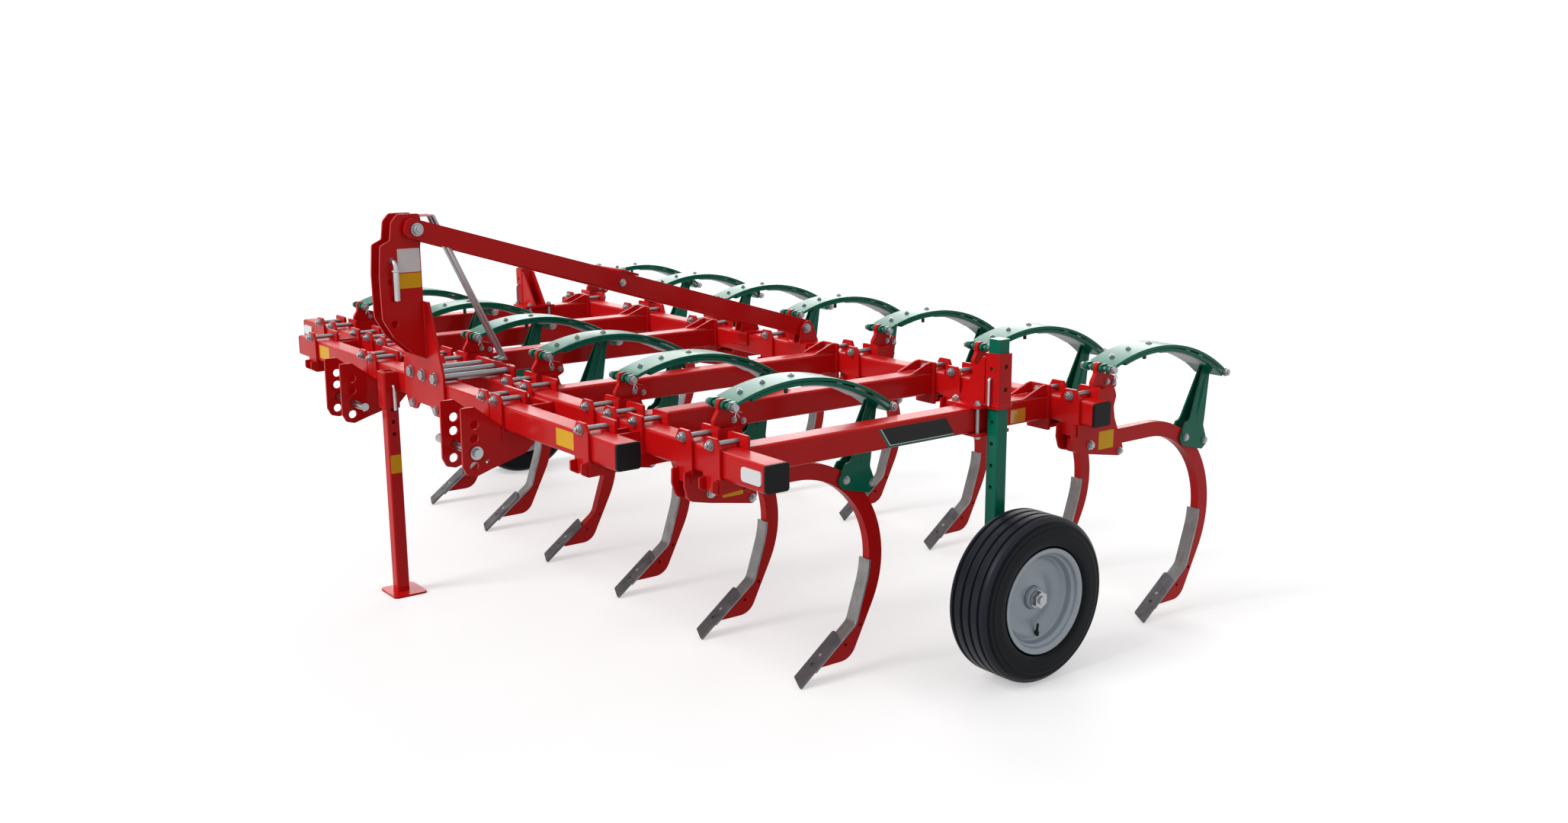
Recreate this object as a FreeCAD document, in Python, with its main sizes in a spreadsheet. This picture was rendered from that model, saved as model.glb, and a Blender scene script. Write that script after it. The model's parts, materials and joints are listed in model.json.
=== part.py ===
"""Mounted chisel plough with leaf-spring tines, modelled as a parametric FreeCAD document.

Frame: +X to the plough's left, -Y forward to the tractor, +Z up, origin on the ground under
the middle of the plan. Millimetres. Each sub-part is one labelled object of the document.
"""
import FreeCAD, Part
import math
import os

import Sketcher
from FreeCAD import Placement, Rotation, Vector

doc = FreeCAD.newDocument("ChiselPlough")
sheet = doc.addObject("Spreadsheet::Sheet", "Sizes")

SIZES = [
    # the square beams
    ("beam_size", 100, "side of every square beam"),
    ("beam_corner", 12, "outer corner radius"),
    ("beam_wall", 8, "wall of the beam tube"),
    ("beam_height", 1010, "ground to beam centre"),
    ("front_line", -1248, "Y of the front beam"),
    ("middle_line", -1020, "Y of the middle beam, front tines"),
    ("rear_line", 621, "Y of the rear beam, rear tines"),
    ("front_half", 1611, "half length of the front beam over its caps"),
    ("middle_half", 2183, "half length of the middle beam over its caps"),
    ("rear_half", 2174, "half length of the rear beam over its caps"),
    ("cap_depth", 12, "end cap outside the tube"),
    ("tine_pitch", 684, "tine to tine on one beam"),
    ("side_beam_lead", 172, "side beam outboard of its tine"),
    # clamps
    ("plate", 12, "clamp and flange plate"),
    ("clamp_gap", 0.5, "plate to beam face"),
    ("clamp_top", 1104, "top of the clamp plates"),
    ("bolt_line", 1078, "clamp bolt axis above the beams"),
    ("clamp_bolt", 20, "clamp bolt shank"),
    ("tie_station", 1380, "X of the outer frame ties"),
    # tines
    ("shank_width", 40, "tine shank across"),
    ("shank_depth", 65, "tine shank in the bend"),
    ("bend_line", 430, "bend centre behind the beam"),
    ("bend_height", 475, "bend centre above the ground"),
    ("bend_radius", 430, "outside of the bend"),
    ("share_slope", 37, "share to the ground, degrees"),
    ("share_thick", 12, "share plate"),
    ("share_width", 70, "share across"),
    ("share_length", 253, "share along its edge"),
    ("wear_thick", 10, "wear plate"),
    ("wear_width", 64, "wear plate across"),
    ("cheek_plate", 10, "bracket cheek"),
    ("cheek_offset", 40, "bracket cheek centre from the tine"),
    # springs
    ("leaf_width", 145, "spring leaf across"),
    ("leaf_thick", 9, "spring leaf"),
    ("spring_pin", 16, "spring pin diameter"),
    ("yoke_plate", 8, "yoke cheek"),
    # headstock
    ("mast_plate", 12, "mast plate"),
    ("mast_offset", 45, "mast plate centre from the middle"),
    ("top_link_hole", 32.4, "upper hitch hole"),
    ("link_pin", 36.6, "lower hitch pin"),
    ("link_inner", 545, "X of the inner link plate"),
    ("link_outer", 735, "X of the outer link plate"),
    ("stay_depth", 84, "stay on edge"),
    ("stay_thick", 25, "stay thickness"),
    # depth wheels and stand
    ("wheel_radius", 335, "tyre outside radius"),
    ("wheel_width", 220, "tyre across"),
    ("wheel_station", 2165, "X of the wheel's middle"),
    ("wheel_line", 218, "Y of the axle"),
    ("post_station", 1982, "X of the wheel post"),
    ("post_size", 60, "wheel post"),
    ("post_top", 1335, "top of the wheel post"),
    ("axle_size", 44, "stub axle diameter"),
    ("running_gap", 0.08, "radial clearance of the hub"),
    ("stand_station", -345, "X of the parking stand"),
    ("stand_size", 60, "stand tube"),
]
for row, (alias, value, note) in enumerate(SIZES, 1):
    sheet.set("A%d" % row, alias)
    sheet.set("B%d" % row, str(value))
    sheet.set("C%d" % row, note)
    sheet.setAlias("B%d" % row, alias)
doc.recompute()

NODES = []


def cell(alias):
    return float(sheet.get(alias))


def node(obj, label):
    """Marks an object as a sub-part to be exported."""
    obj.Label = label
    NODES.append(obj)
    return obj


class Via(tuple):
    """A point on the arc between its two neighbours in an outline."""


# ---------------------------------------------------------------- sketch outlines

def _corner(before, at, after, radius):
    """Ends and middle of the fillet of an outline corner."""
    a = (before - at).normalize()
    b = (after - at).normalize()
    half = a.getAngle(b) / 2
    run = radius / math.tan(half)
    centre = at + (a + b).normalize() * (radius / math.sin(half))
    start, end = at + a * run, at + b * run
    middle = centre + (at - centre).normalize() * radius
    return start, middle, end


def outline(sketch, points, lift=(0, 0)):
    """Closes lines and arcs through points: (x, y), (x, y, corner radius) or Via((x, y))."""
    flat = [Vector(p[0] + lift[0], p[1] + lift[1], 0) for p in points]
    count = len(points)
    pieces = []
    ends = {}
    for k, point in enumerate(points):
        if isinstance(point, Via):
            continue
        if len(point) == 3 and point[2] > 0:
            start, middle, end = _corner(flat[k - 1], flat[k], flat[(k + 1) % count], point[2])
            ends[k] = (start, end, middle)
        else:
            ends[k] = (flat[k], flat[k], None)
    order = [k for k in range(count) if k in ends]
    for place, k in enumerate(order):
        nxt = order[(place + 1) % len(order)]
        start, end, middle = ends[k]
        if middle is not None:
            pieces.append(Part.Arc(start, middle, end))
        goal = ends[nxt][0]
        between = (k + 1) % count
        if isinstance(points[between], Via):
            pieces.append(Part.Arc(end, flat[between], goal))
        elif (goal - end).Length > 1e-6:
            pieces.append(Part.LineSegment(end, goal))
    first = sketch.GeometryCount
    for piece in pieces:
        sketch.addGeometry(piece, False)
    return first


def circle(sketch, x, y, alias=None, radius=None):
    """A round hole or boss whose diameter can come from the sheet."""
    index = sketch.addGeometry(Part.Circle(Vector(x, y, 0), Vector(0, 0, 1), radius or 1), False)
    if alias:
        row = sketch.addConstraint(Sketcher.Constraint("Radius", index, cell(alias) / 2))
        sketch.setExpression("Constraints[%d]" % row, "Sizes.%s / 2" % alias)
    return index


def new_body(name, plane, place=None):
    """A body with one sketch on an origin plane."""
    body = doc.addObject("PartDesign::Body", name)
    sketch = body.newObject("Sketcher::SketchObject", name + "_sketch")
    origin_plane = [f for f in body.Origin.OriginFeatures if f.Role == plane + "_Plane"][0]
    sketch.AttachmentSupport = [(origin_plane, "")]
    sketch.MapMode = "FlatFace"
    if place is not None:
        body.Placement = place
    return body, sketch


def pad(body, sketch, length, midplane=True, reverse=False):
    """Pads a sketch by an expression of the sheet's cells."""
    feature = body.newObject("PartDesign::Pad", body.Name + "_pad")
    feature.Profile = sketch
    feature.Midplane = midplane
    feature.Reversed = reverse
    feature.setExpression("Length", length)
    body.Tip = feature
    return feature


def plate(name, plane, points, thickness, holes=(), place=None, midplane=True, reverse=False):
    """A flat plate: one outline, round holes (x, y, diameter alias or radius), one pad."""
    body, sketch = new_body(name, plane, place)
    outline(sketch, points)
    for x, y, what in holes:
        if isinstance(what, str):
            circle(sketch, x, y, alias=what, radius=cell(what) / 2)
        else:
            circle(sketch, x, y, radius=what)
    pad(body, sketch, thickness, midplane, reverse)
    return body


def at(x=0, y=0, z=0, axis=None, angle=0):
    """A placement; the turn is optional."""
    turn = Rotation(Vector(*axis), angle) if axis else Rotation()
    return Placement(Vector(x, y, z), turn)


def square(side, corner):
    """Corners of a centred square with rounded corners."""
    s = side / 2
    return [(-s, -s, corner), (s, -s, corner), (s, s, corner), (-s, s, corner)]


def square_tube(name, plane, side, wall, corner, length, place=None):
    """Hollow square section padded both ways from the sketch plane."""
    body, sketch = new_body(name, plane, place)
    outline(sketch, square(side, corner))
    if wall:
        outline(sketch, square(side - 2 * wall, max(corner - wall, 3)))
    pad(body, sketch, length)
    return body


def rod(name, direction, radius, length, place):
    """A cylinder along X, Y or Z from its placement's point."""
    turns = {"X": ((0, 1, 0), 90), "Y": ((1, 0, 0), -90), "Z": ((0, 0, 1), 0)}
    axis, angle = turns[direction]
    item = doc.addObject("Part::Cylinder", name)
    if isinstance(radius, str):
        item.setExpression("Radius", radius)
    else:
        item.Radius = radius
    if isinstance(length, str):
        item.setExpression("Height", length)
    else:
        item.Height = length
    item.Placement = at(*place, axis=axis, angle=angle)
    return item


def hexagon(name, direction, across, length, place):
    """A hexagonal head or nut along X, Y or Z."""
    turns = {"X": ((0, 1, 0), 90), "Y": ((1, 0, 0), -90), "Z": ((0, 0, 1), 0)}
    axis, angle = turns[direction]
    item = doc.addObject("Part::Prism", name)
    item.Polygon = 6
    item.Circumradius = across / math.sqrt(3)
    item.Height = length
    item.Placement = at(*place, axis=axis, angle=angle)
    return item


def block(name, low, high):
    """A Part box between two corners."""
    item = doc.addObject("Part::Box", name)
    item.Length, item.Width, item.Height = [b - a for a, b in zip(low, high)]
    item.Placement = at(*low)
    return item


def fuse(name, parts):
    item = doc.addObject("Part::MultiFuse", name)
    item.Shapes = parts
    return item


def cut(name, base, tools):
    item = doc.addObject("Part::Cut", name)
    item.Base = base
    item.Tool = tools[0] if len(tools) == 1 else fuse(name + "_tools", tools)
    return item


def repeat(name, stations):
    """Links one piece to many stations; each is (source, x, y, z) with expressions."""
    links = []
    for number, (source, x, y, z) in enumerate(stations, 1):
        link = doc.addObject("App::Link", "%s_%d" % (name, number))
        link.LinkedObject = source
        link.LinkTransform = True
        for axis, value in (("x", x), ("y", y), ("z", z)):
            if value:
                link.setExpression("Placement.Base." + axis, str(value))
        links.append(link)
    group = doc.addObject("Part::Compound", name)
    group.Links = links
    return node(group, name)


def bolt(name, direction, radius, grip, place, head=13, nut=16, across=None, tail=6):
    """Bolt from the head's seat: head before it, grip, then nut and a short tail."""
    wide = across or radius * 3.1
    step = {"X": Vector(1, 0, 0), "Y": Vector(0, 1, 0), "Z": Vector(0, 0, 1)}[direction]
    seat = Vector(*place)
    start, finish = seat - step * head, seat + step * grip
    pieces = [rod(name + "_shank", direction, radius, grip + nut + tail, tuple(seat)),
              hexagon(name + "_head", direction, wide, head, tuple(start)),
              hexagon(name + "_nut", direction, wide, nut, tuple(finish))]
    return fuse(name, pieces)


# stations ------------------------------------------------------------------------

FRONT_TINES = [k + 0.5 for k in range(-3, 3)]
REAR_TINES = list(range(-3, 4))
BOTH_SIDES = (1, -1)
half_beam = cell("beam_size") / 2
beam_low = cell("beam_height") - half_beam
beam_high = cell("beam_height") + half_beam
gap = cell("clamp_gap")
face = half_beam + gap
back = face + cell("plate")
clamp_top = cell("clamp_top")
bolt_z = cell("bolt_line")
TINE_STATIONS = ([("Sizes.tine_pitch * %s" % k, "Sizes.middle_line", "") for k in FRONT_TINES]
                 + [("Sizes.tine_pitch * %s" % k, "Sizes.rear_line", "") for k in REAR_TINES])
SIDE_X = ["%d * (Sizes.tine_pitch * %s + Sizes.side_beam_lead)" % (s, k)
          for s in BOTH_SIDES for k in (0.5, 1.5, 2.5)]


def along(source, stations):
    return [(source,) + tuple(s) for s in stations]


# ---------------------------------------------------------------- beams

def beams():
    side, wall, corner = cell("beam_size"), cell("beam_wall"), cell("beam_corner")
    caps = []
    plug = plate("end_cap", "YZ", square(side, corner), "Sizes.cap_depth",
                 midplane=False)
    for name, line in (("front", "front"), ("middle", "middle"), ("rear", "rear")):
        tube = square_tube(name + "_tube", "YZ", side, wall, corner,
                           "2 * (Sizes.%s_half - Sizes.cap_depth)" % line)
        tube.setExpression("Placement.Base.y", "Sizes.%s_line" % line)
        tube.setExpression("Placement.Base.z", "Sizes.beam_height")
        node(tube, name + "_beam")
        caps.append((plug, "Sizes.%s_half - Sizes.cap_depth" % line, "Sizes.%s_line" % line,
                     "Sizes.beam_height"))
        caps.append((plug, "-Sizes.%s_half" % line, "Sizes.%s_line" % line, "Sizes.beam_height"))
    repeat("beam_end_caps", caps)
    long_tube = square_tube("side_tube", "XZ", side, wall, corner,
                            "Sizes.rear_line - Sizes.middle_line - Sizes.beam_size"
                            " - 2 * Sizes.clamp_gap - 2 * Sizes.plate")
    middle = "(Sizes.rear_line + Sizes.middle_line) / 2"
    repeat("side_beams", [(long_tube, x, middle, "Sizes.beam_height") for x in SIDE_X])


# ---------------------------------------------------------------- clamps

def clamp_outline(half, low, slots):
    """Clamp plate: clipped top corners, jaws open downwards at the cheeks."""
    top = clamp_top
    points = [(-half, low), (-half, top - 34, 6), (-half + 22, top, 6),
              (half - 22, top, 6), (half, top - 34, 6), (half, low)]
    lip = beam_low + 1.5
    for x in slots:
        points += [(x + 6.75, low), (x + 6.75, lip), (x - 6.75, lip), (x - 6.75, low)]
    return points


def clamps():
    half = 51
    slots = (40, -40)
    clamp = plate("clamp_plate", "XZ", clamp_outline(half, 912, slots), "Sizes.plate",
                  holes=[(0, bolt_z, half_beam / 5 + 0.5)],
                  place=at(y=-(face + cell("plate") / 2)))
    front_x = ["%d * Sizes.tie_station" % s for s in BOTH_SIDES]
    front_x += ["%d * %d" % (s, x) for s in BOTH_SIDES for x in (585, 695)]
    stations = [(x, "Sizes.front_line", "") for x in front_x]
    stations += [(x, "Sizes.middle_line", "") for x in SIDE_X]
    stations += TINE_STATIONS
    repeat("clamp_plates", along(clamp, stations))
    grip = 2 * back
    through = bolt("clamp_bolt_piece", "Y", cell("clamp_bolt") / 2, grip, (0, -back, bolt_z))
    blind = fuse("clamp_bolt_blind", [
        rod("clamp_bolt_blind_shank", "Y", cell("clamp_bolt") / 2, grip - 1.5, (0, -back, bolt_z)),
        hexagon("clamp_bolt_blind_head", "Y", 31, 13, (0, -back - 13, bolt_z))])
    bolts = [s for s in stations if s not in TINE_STATIONS]
    bolts += [("%d * Sizes.tie_station" % s, "Sizes.middle_line", "") for s in BOTH_SIDES]
    bolts += [(x, "Sizes.rear_line", "") for x in SIDE_X]
    repeat("clamp_bolts", along(through, bolts) + along(blind, TINE_STATIONS))


def hole_in_tab():
    return (0, bolt_z, cell("clamp_bolt") / 2 + 0.5)


def tab(name, half, low, x=0, line=0, behind=True, holes=None):
    """Plate standing on one face of a beam, with the clamp bolt's hole above the beam."""
    y = face + cell("plate") / 2
    points = [(-half, low, 4), (half, low, 4), (half, clamp_top, 8), (-half, clamp_top, 8)]
    return plate(name, "XZ", points, "Sizes.plate", holes=holes or [hole_in_tab()],
                 place=at(x=x, y=line + (y if behind else -y)))


def flanges():
    """End plates that hold the side beams to the middle and rear beams."""
    fin = [(-88, beam_low - 1, 6), (back, beam_low - 1), (back, 915, 12), (-60, 905, 12),
           (-88, 920, 10)]
    fins = [plate("flange_fin_%d" % k, "YZ", fin, "Sizes.cheek_plate", place=at(x=x))
            for k, x in enumerate((-40, 40), 1)]
    front = fuse("front_flange", [tab("front_flange_tab", 60, beam_low - 55)] + fins)
    repeat("side_beam_front_flanges", [(front, x, "Sizes.middle_line", "") for x in SIDE_X])
    # at the rear beam: plate with two upright gussets in front, keystone plate behind
    base = tab("rear_flange_tab", 60, beam_low - 45, behind=False)
    wing = [(-back, 1062), (-back, 1104, 10), (-back - 22, 1104, 10), (-back - 130, 1062)]
    wings = [plate("rear_flange_wing_%d" % k, "YZ", wing, "Sizes.cheek_plate", place=at(x=x))
             for k, x in enumerate((-42, 42), 1)]
    keystone = [(-52, beam_low - 45, 12), (52, beam_low - 45, 12), (52, beam_high, 6),
                (30, clamp_top, 8), (-30, clamp_top, 8), (-52, beam_high, 6)]
    behind = plate("rear_keystone", "XZ", keystone, "Sizes.plate", holes=[hole_in_tab()],
                   place=at(y=face + cell("plate") / 2))
    strap = [(-back, beam_low - 45), (-back, beam_low - 31), (back, beam_low - 31),
             (back, beam_low - 45)]
    under = plate("rear_flange_strap", "YZ", strap, "60")
    rear = fuse("rear_flange", [base, behind, under] + wings)
    repeat("side_beam_rear_flanges", [(rear, x, "Sizes.rear_line", "") for x in SIDE_X])


def ties():
    """Cheeks that carry the front beam on the middle beam."""
    front = cell("front_line") - cell("middle_line")
    cheek = [(front - 88, beam_low - 1, 6), (front + back, beam_low - 1),
             (front + back, beam_high - 12, 8), (-back, beam_high - 12, 8),
             (-back, beam_low - 1), (back, beam_low - 1, 6), (back, 915, 12),
             (front - 60, 905, 12), (front - 88, 920, 10)]
    cheeks = [plate("tie_cheek_%d" % k, "YZ", cheek, "Sizes.cheek_plate", place=at(x=x))
              for k, x in enumerate((-40, 40), 1)]
    tabs = [tab("tie_front_tab", 53, beam_low, line=front),
            tab("tie_mid_tab", 53, beam_low, behind=False),
            tab("tie_rear_tab", 53, beam_low - 45)]
    repeat("frame_ties", [(fuse("tie", cheeks + tabs), "%d * Sizes.tie_station" % s,
                           "Sizes.middle_line", "") for s in BOTH_SIDES])


# ---------------------------------------------------------------- tines

def tine_brackets():
    hook_hole = cell("spring_pin") / 2 + 0.5
    cheek = [(-88, beam_low - 1, 6), (back, beam_low - 1), (back, 1092), (158, 1092, 12),
             (172, 1056, 20), (158, 1012, 30), (168, 960, 40), (228, 832, 18), (214, 796, 18),
             (18, 830, 60), (-72, 850, 30), (-90, 905, 12)]
    holes = [(21, 868, 10.5), (205, 818, 8.5)]
    cheeks = [plate("bracket_cheek_%d" % k, "YZ", cheek, "Sizes.cheek_plate", holes=holes,
                    place=at(x=s * cell("cheek_offset"))) for k, s in enumerate((-1, 1), 1)]
    hook = [(back, 1010), (back, 1118, 20), (83, 1150, 15), (83, 1196, 20), (127, 1196, 20),
            (127, 1152, 12), (205, 1130, 16), (214, 1088, 16), (168, 1066, 12), (160, 1010)]
    centre = plate("bracket_hook", "YZ", hook, "20",
                   holes=[(105, 1173, hook_hole), (150, 1113, 6.5), (192, 1104, 6.5)])
    parts = cheeks + [centre, tab("bracket_tab", 53, beam_low + 3)]
    repeat("tine_brackets", along(fuse("tine_bracket", parts), TINE_STATIONS))


def share_frame():
    """Share surface: its lower end, the direction up it and its upward normal, in YZ."""
    slope = math.radians(cell("share_slope"))
    up = (math.cos(slope), math.sin(slope))
    normal = (-up[1], up[0])
    start = (431, cell("share_thick") * up[0] + 0.3)
    return start, up, normal


def on_slope(distance, depth):
    """A point this far up the share and this deep below its surface."""
    start, up, normal = share_frame()
    return (start[0] + up[0] * distance - normal[0] * depth,
            start[1] + up[1] * distance - normal[1] * depth)


def bend(radius, degrees):
    turn = math.radians(degrees)
    return (cell("bend_line") + radius * math.cos(turn),
            cell("bend_height") + radius * math.sin(turn))


def leg_corner(offset):
    """Where the shank's straight leg meets its toe, moved forward by an offset."""
    radius = cell("bend_radius") - cell("shank_depth") - offset
    top = bend(radius, -18)
    fall = math.radians(72)
    depth = cell("share_thick") + cell("wear_thick") - offset
    start, up, normal = share_frame()
    low = on_slope(0, depth)
    # straight leg: top + t * (-cos fall, -sin fall); toe: low + u * up
    ax, ay = -math.cos(fall), -math.sin(fall)
    det = ax * -up[1] - ay * -up[0]
    dx, dy = low[0] - top[0], low[1] - top[1]
    run = (dx * -up[1] - dy * -up[0]) / det
    return top, (top[0] + run * ax, top[1] + run * ay)


def shanks():
    outer = cell("bend_radius")
    inner = outer - cell("shank_depth")
    top, corner = leg_corner(0)
    depth = cell("share_thick") + cell("wear_thick")
    toe = on_slope(124, depth)
    points = [(-48, cell("bend_height") + outer, 14), bend(outer, 90), Via(bend(outer, 31)),
              bend(outer, -28), (703, 62, 80), (toe[0] + 6, 62, 2), toe,
              corner + (60,), top, Via(bend(inner, 36)), bend(inner, 90),
              (-48, cell("bend_height") + inner, 14)]
    holes = [(21, 868, 10.5), (664, 808, 8.5), (752, 196, 7), (676, 128, 7)]
    shank = plate("tine_shank", "YZ", points, "Sizes.shank_width", holes=holes)
    repeat("tine_shanks", along(shank, TINE_STATIONS))


def wear_plates():
    """Bent plates in front of the shanks, tucked under the shares; one front tine has none."""
    inner = cell("bend_radius") - cell("shank_depth")
    rear_top, rear_corner = leg_corner(0)
    front_top, front_corner = leg_corner(cell("wear_thick"))
    thick = cell("wear_thick")
    low_rear = on_slope(92, cell("share_thick") + thick)
    low_front = on_slope(92, cell("share_thick"))
    points = [bend(inner - thick, -2), Via(bend(inner - thick, -10)), front_top,
              front_corner + (50,), low_front, low_rear, rear_corner + (60,), rear_top,
              Via(bend(inner, -10)), bend(inner, -2)]
    wear = plate("wear_plate", "YZ", points, "Sizes.wear_width")
    stations = [s for k, s in enumerate(TINE_STATIONS) if k != 2]
    repeat("wear_plates", along(wear, stations))


def shares():
    """Reversible points: plates with slanted ends."""
    start, up, normal = share_frame()
    half, length = cell("share_width") / 2, cell("share_length")
    skew = 33
    points = [(half, 0, 6), (half, length, 14), (-half, length + skew, 10), (-half, skew, 8)]
    holes = [(0, 113, 8), (0, 163, 8)]
    share = plate("share", "XY", points, "Sizes.share_thick", holes=holes, midplane=False,
                  reverse=True, place=at(0, start[0], start[1], (1, 0, 0), cell("share_slope")))
    repeat("shares", along(share, TINE_STATIONS))


# ---------------------------------------------------------------- springs

LEAF_TOP = ((128, 1190), (420, 1243), (881, 1081))


def _circle_through(a, b, c):
    """Centre and radius of the circle through three points."""
    d = 2 * (a[0] * (b[1] - c[1]) + b[0] * (c[1] - a[1]) + c[0] * (a[1] - b[1]))
    sq = [p[0] ** 2 + p[1] ** 2 for p in (a, b, c)]
    x = (sq[0] * (b[1] - c[1]) + sq[1] * (c[1] - a[1]) + sq[2] * (a[1] - b[1])) / d
    y = (sq[0] * (c[0] - b[0]) + sq[1] * (a[0] - c[0]) + sq[2] * (b[0] - a[0])) / d
    return (x, y), math.hypot(a[0] - x, a[1] - y)


def springs():
    """Two-leaf springs: the upper leaf ends in an eye at the hook, the lower one bears on the yoke."""
    (cy, cz), radius = _circle_through(*LEAF_TOP)
    thick = cell("leaf_thick")

    def arc(depth, y):
        r = radius - depth
        return (y, cz + math.sqrt(r * r - (y - cy) ** 2))

    eye = [arc(0, 128), Via(arc(0, 480)), arc(0, 881), arc(thick, 877), Via(arc(thick, 480)),
           arc(thick, 134), (121, 1160, 12), (89, 1160, 12), (89, 1187, 12)]
    body, sketch = new_body("upper_leaf", "YZ")
    outline(sketch, eye)
    circle(sketch, 105, 1173.5, alias="spring_pin", radius=8)
    pad(body, sketch, "Sizes.leaf_width")
    slot = block("eye_slot", (-12, 70, 1140), (12, 132, 1220))
    upper = cut("upper_leaf_slotted", body, [slot])
    repeat("spring_upper_leaves", along(upper, TINE_STATIONS))
    low = thick + 0.5
    lower_points = [arc(low, 190), Via(arc(low, 330)), arc(low, 500), Via((690, arc(low, 690)[1] - 4)),
                    (842, arc(low, 842)[1] - 12), (838, arc(low, 842)[1] - 20),
                    Via((686, arc(low, 686)[1] - 12)), arc(low + 8, 498), Via(arc(low + 8, 330)),
                    arc(low + 8, 192)]
    lower = plate("lower_leaf", "YZ", lower_points, "Sizes.leaf_width")
    repeat("spring_lower_leaves", along(lower, TINE_STATIONS))
    pin = fuse("spring_pin_piece", [
        rod("spring_pin_rod", "X", "Sizes.spring_pin / 2 - 0.2", 178, (-89, 105, 1173.5)),
        hexagon("spring_pin_nut_left", "X", 26, 12, (74, 105, 1173.5)),
        hexagon("spring_pin_nut_right", "X", 26, 12, (-86, 105, 1173.5))])
    repeat("spring_pins", along(pin, TINE_STATIONS))


def yokes():
    """Green channels that stand on the shank's back and carry the spring's tail."""
    cheek = [(626, 806, 16), (650, 772, 16), (784, 738, 14), (820, 764, 14), (786, 846, 30),
             (820, 1084, 4), (757, 1120, 4), (690, 878, 20), (664, 872, 16)]
    offset = 22 + cell("yoke_plate") / 2
    cheeks = [plate("yoke_cheek_%d" % k, "YZ", cheek, "Sizes.yoke_plate",
                    holes=[(664, 808, 8.5), (797, 778, 8.5)], place=at(x=s * offset))
              for k, s in enumerate((-1, 1), 1)]
    web = [(787, 852), (820, 1083), (812, 1087), (778, 851)]
    parts = cheeks + [plate("yoke_web", "YZ", web, "48")]
    repeat("spring_yokes", along(fuse("yoke", parts), TINE_STATIONS))
    grip = 2 * (offset + cell("yoke_plate") / 2)
    ties = [bolt("yoke_bolt_%d" % k, "X", 8, grip, (-grip / 2, y, z), head=9, nut=10, across=26, tail=3)
            for k, (y, z) in enumerate(((664, 808), (797, 778)), 1)]
    repeat("yoke_bolts", along(ties[0], TINE_STATIONS) + along(ties[1], TINE_STATIONS))
    pivot = bolt("pivot_bolt", "X", 10, 90, (-45, 21, 868), head=10, nut=12, across=30)
    stop = bolt("stop_bolt", "X", 8, 90, (-45, 205, 818), head=9, nut=10, across=24)
    cheek_a = bolt("hook_bolt_1", "X", 6, 20, (-10, 150, 1113), head=8, nut=8, across=19, tail=4)
    cheek_b = bolt("hook_bolt_2", "X", 6, 20, (-10, 192, 1104), head=8, nut=8, across=19, tail=4)
    for piece, name in ((pivot, "pivot_bolts"), (stop, "stop_bolts")):
        repeat(name, along(piece, TINE_STATIONS))
    hooks = along(cheek_a, TINE_STATIONS) + along(cheek_b, TINE_STATIONS)
    repeat("hook_bolts", hooks)


# ---------------------------------------------------------------- headstock

def headstock():
    line = cell("front_line")
    seat = line - face
    mast = [(-291, 1160, 4), (-345, 1184, 30), (-430, 1262, 60), (-476, 1345, 60),
            (-478, 1530, 80), (-468, 1655, 14), (-424, 1676, 12), (-414, 1752, 30),
            (-385, 1784, 20), (-288, 1784, 14), (-279, 1740, 30), (-291, 1640, 40)]
    shift = -228
    mast = [(p[0] - shift + line,) + p[1:] for p in mast]
    holes = [(line + y - shift, z, r) for y, z, r in
             ((-427, 1501, cell("top_link_hole") / 2), (-421, 1429, 13), (-423, 1322, 16.2),
              (-420, 1592, 13), (-318, 1720, 10.5))]
    sides = [plate("mast_side_%d" % k, "YZ", mast, "Sizes.mast_plate", holes=holes,
                   place=at(x=s * cell("mast_offset"))) for k, s in enumerate(BOTH_SIDES, 1)]
    repeat("mast_plates", [(side, "", "", "") for side in sides])
    base = [(-90, 1410, 10), (90, 1410, 10), (180, 1172, 40), (206, 1098, 20), (206, 985, 20),
            (165, 915, 14), (96, 915, 14), (62, 950, 10), (-62, 950, 10), (-96, 915, 14),
            (-165, 915, 14), (-206, 985, 20), (-206, 1098, 20), (-180, 1172, 40)]
    upper = [(x, 1081) for x in (-125, 0, 125)]
    lower = [(x, 942) for x in (-121, 121)]
    drill = [(x, z, 15.3) for x, z in upper] + [(x, z, 10.3) for x, z in lower]
    node(plate("mount_plate_body", "XZ", base, "Sizes.plate", holes=drill,
               place=at(y=seat - cell("plate") / 2)), "mast_mount_plate")
    tail = cell("middle_line") + face
    end = [(-190, 918, 12), (190, 918, 12), (190, 1106, 12), (-190, 1106, 12)]
    node(plate("rear_plate_body", "XZ", end, "Sizes.plate", holes=drill,
               place=at(y=tail + cell("plate") / 2)), "headstock_rear_plate")
    grip = tail - seat + 2 * cell("plate")
    start = seat - cell("plate")
    rods = [bolt("upper_rod_%d" % k, "Y", 15, grip, (x, start, z), head=16, nut=20, across=42)
            for k, (x, z) in enumerate(upper, 1)]
    rods += [bolt("lower_rod_%d" % k, "Y", 10, grip, (x, start, z), across=30)
             for k, (x, z) in enumerate(lower, 1)]
    repeat("headstock_bolts", [(r, "", "", "") for r in rods])
    y_pin, z_pin = line - 192, 1592
    pin = fuse("mast_pin_body", [
        rod("mast_pin_rod", "X", 12.7, 139, (-56, y_pin, z_pin)),
        rod("mast_pin_shank", "Z", 11, 190, (74, y_pin, z_pin - 178)),
        rod("mast_pin_collar", "Z", 17, 8, (74, y_pin, z_pin - 40))])
    node(pin, "mast_pin")


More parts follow.
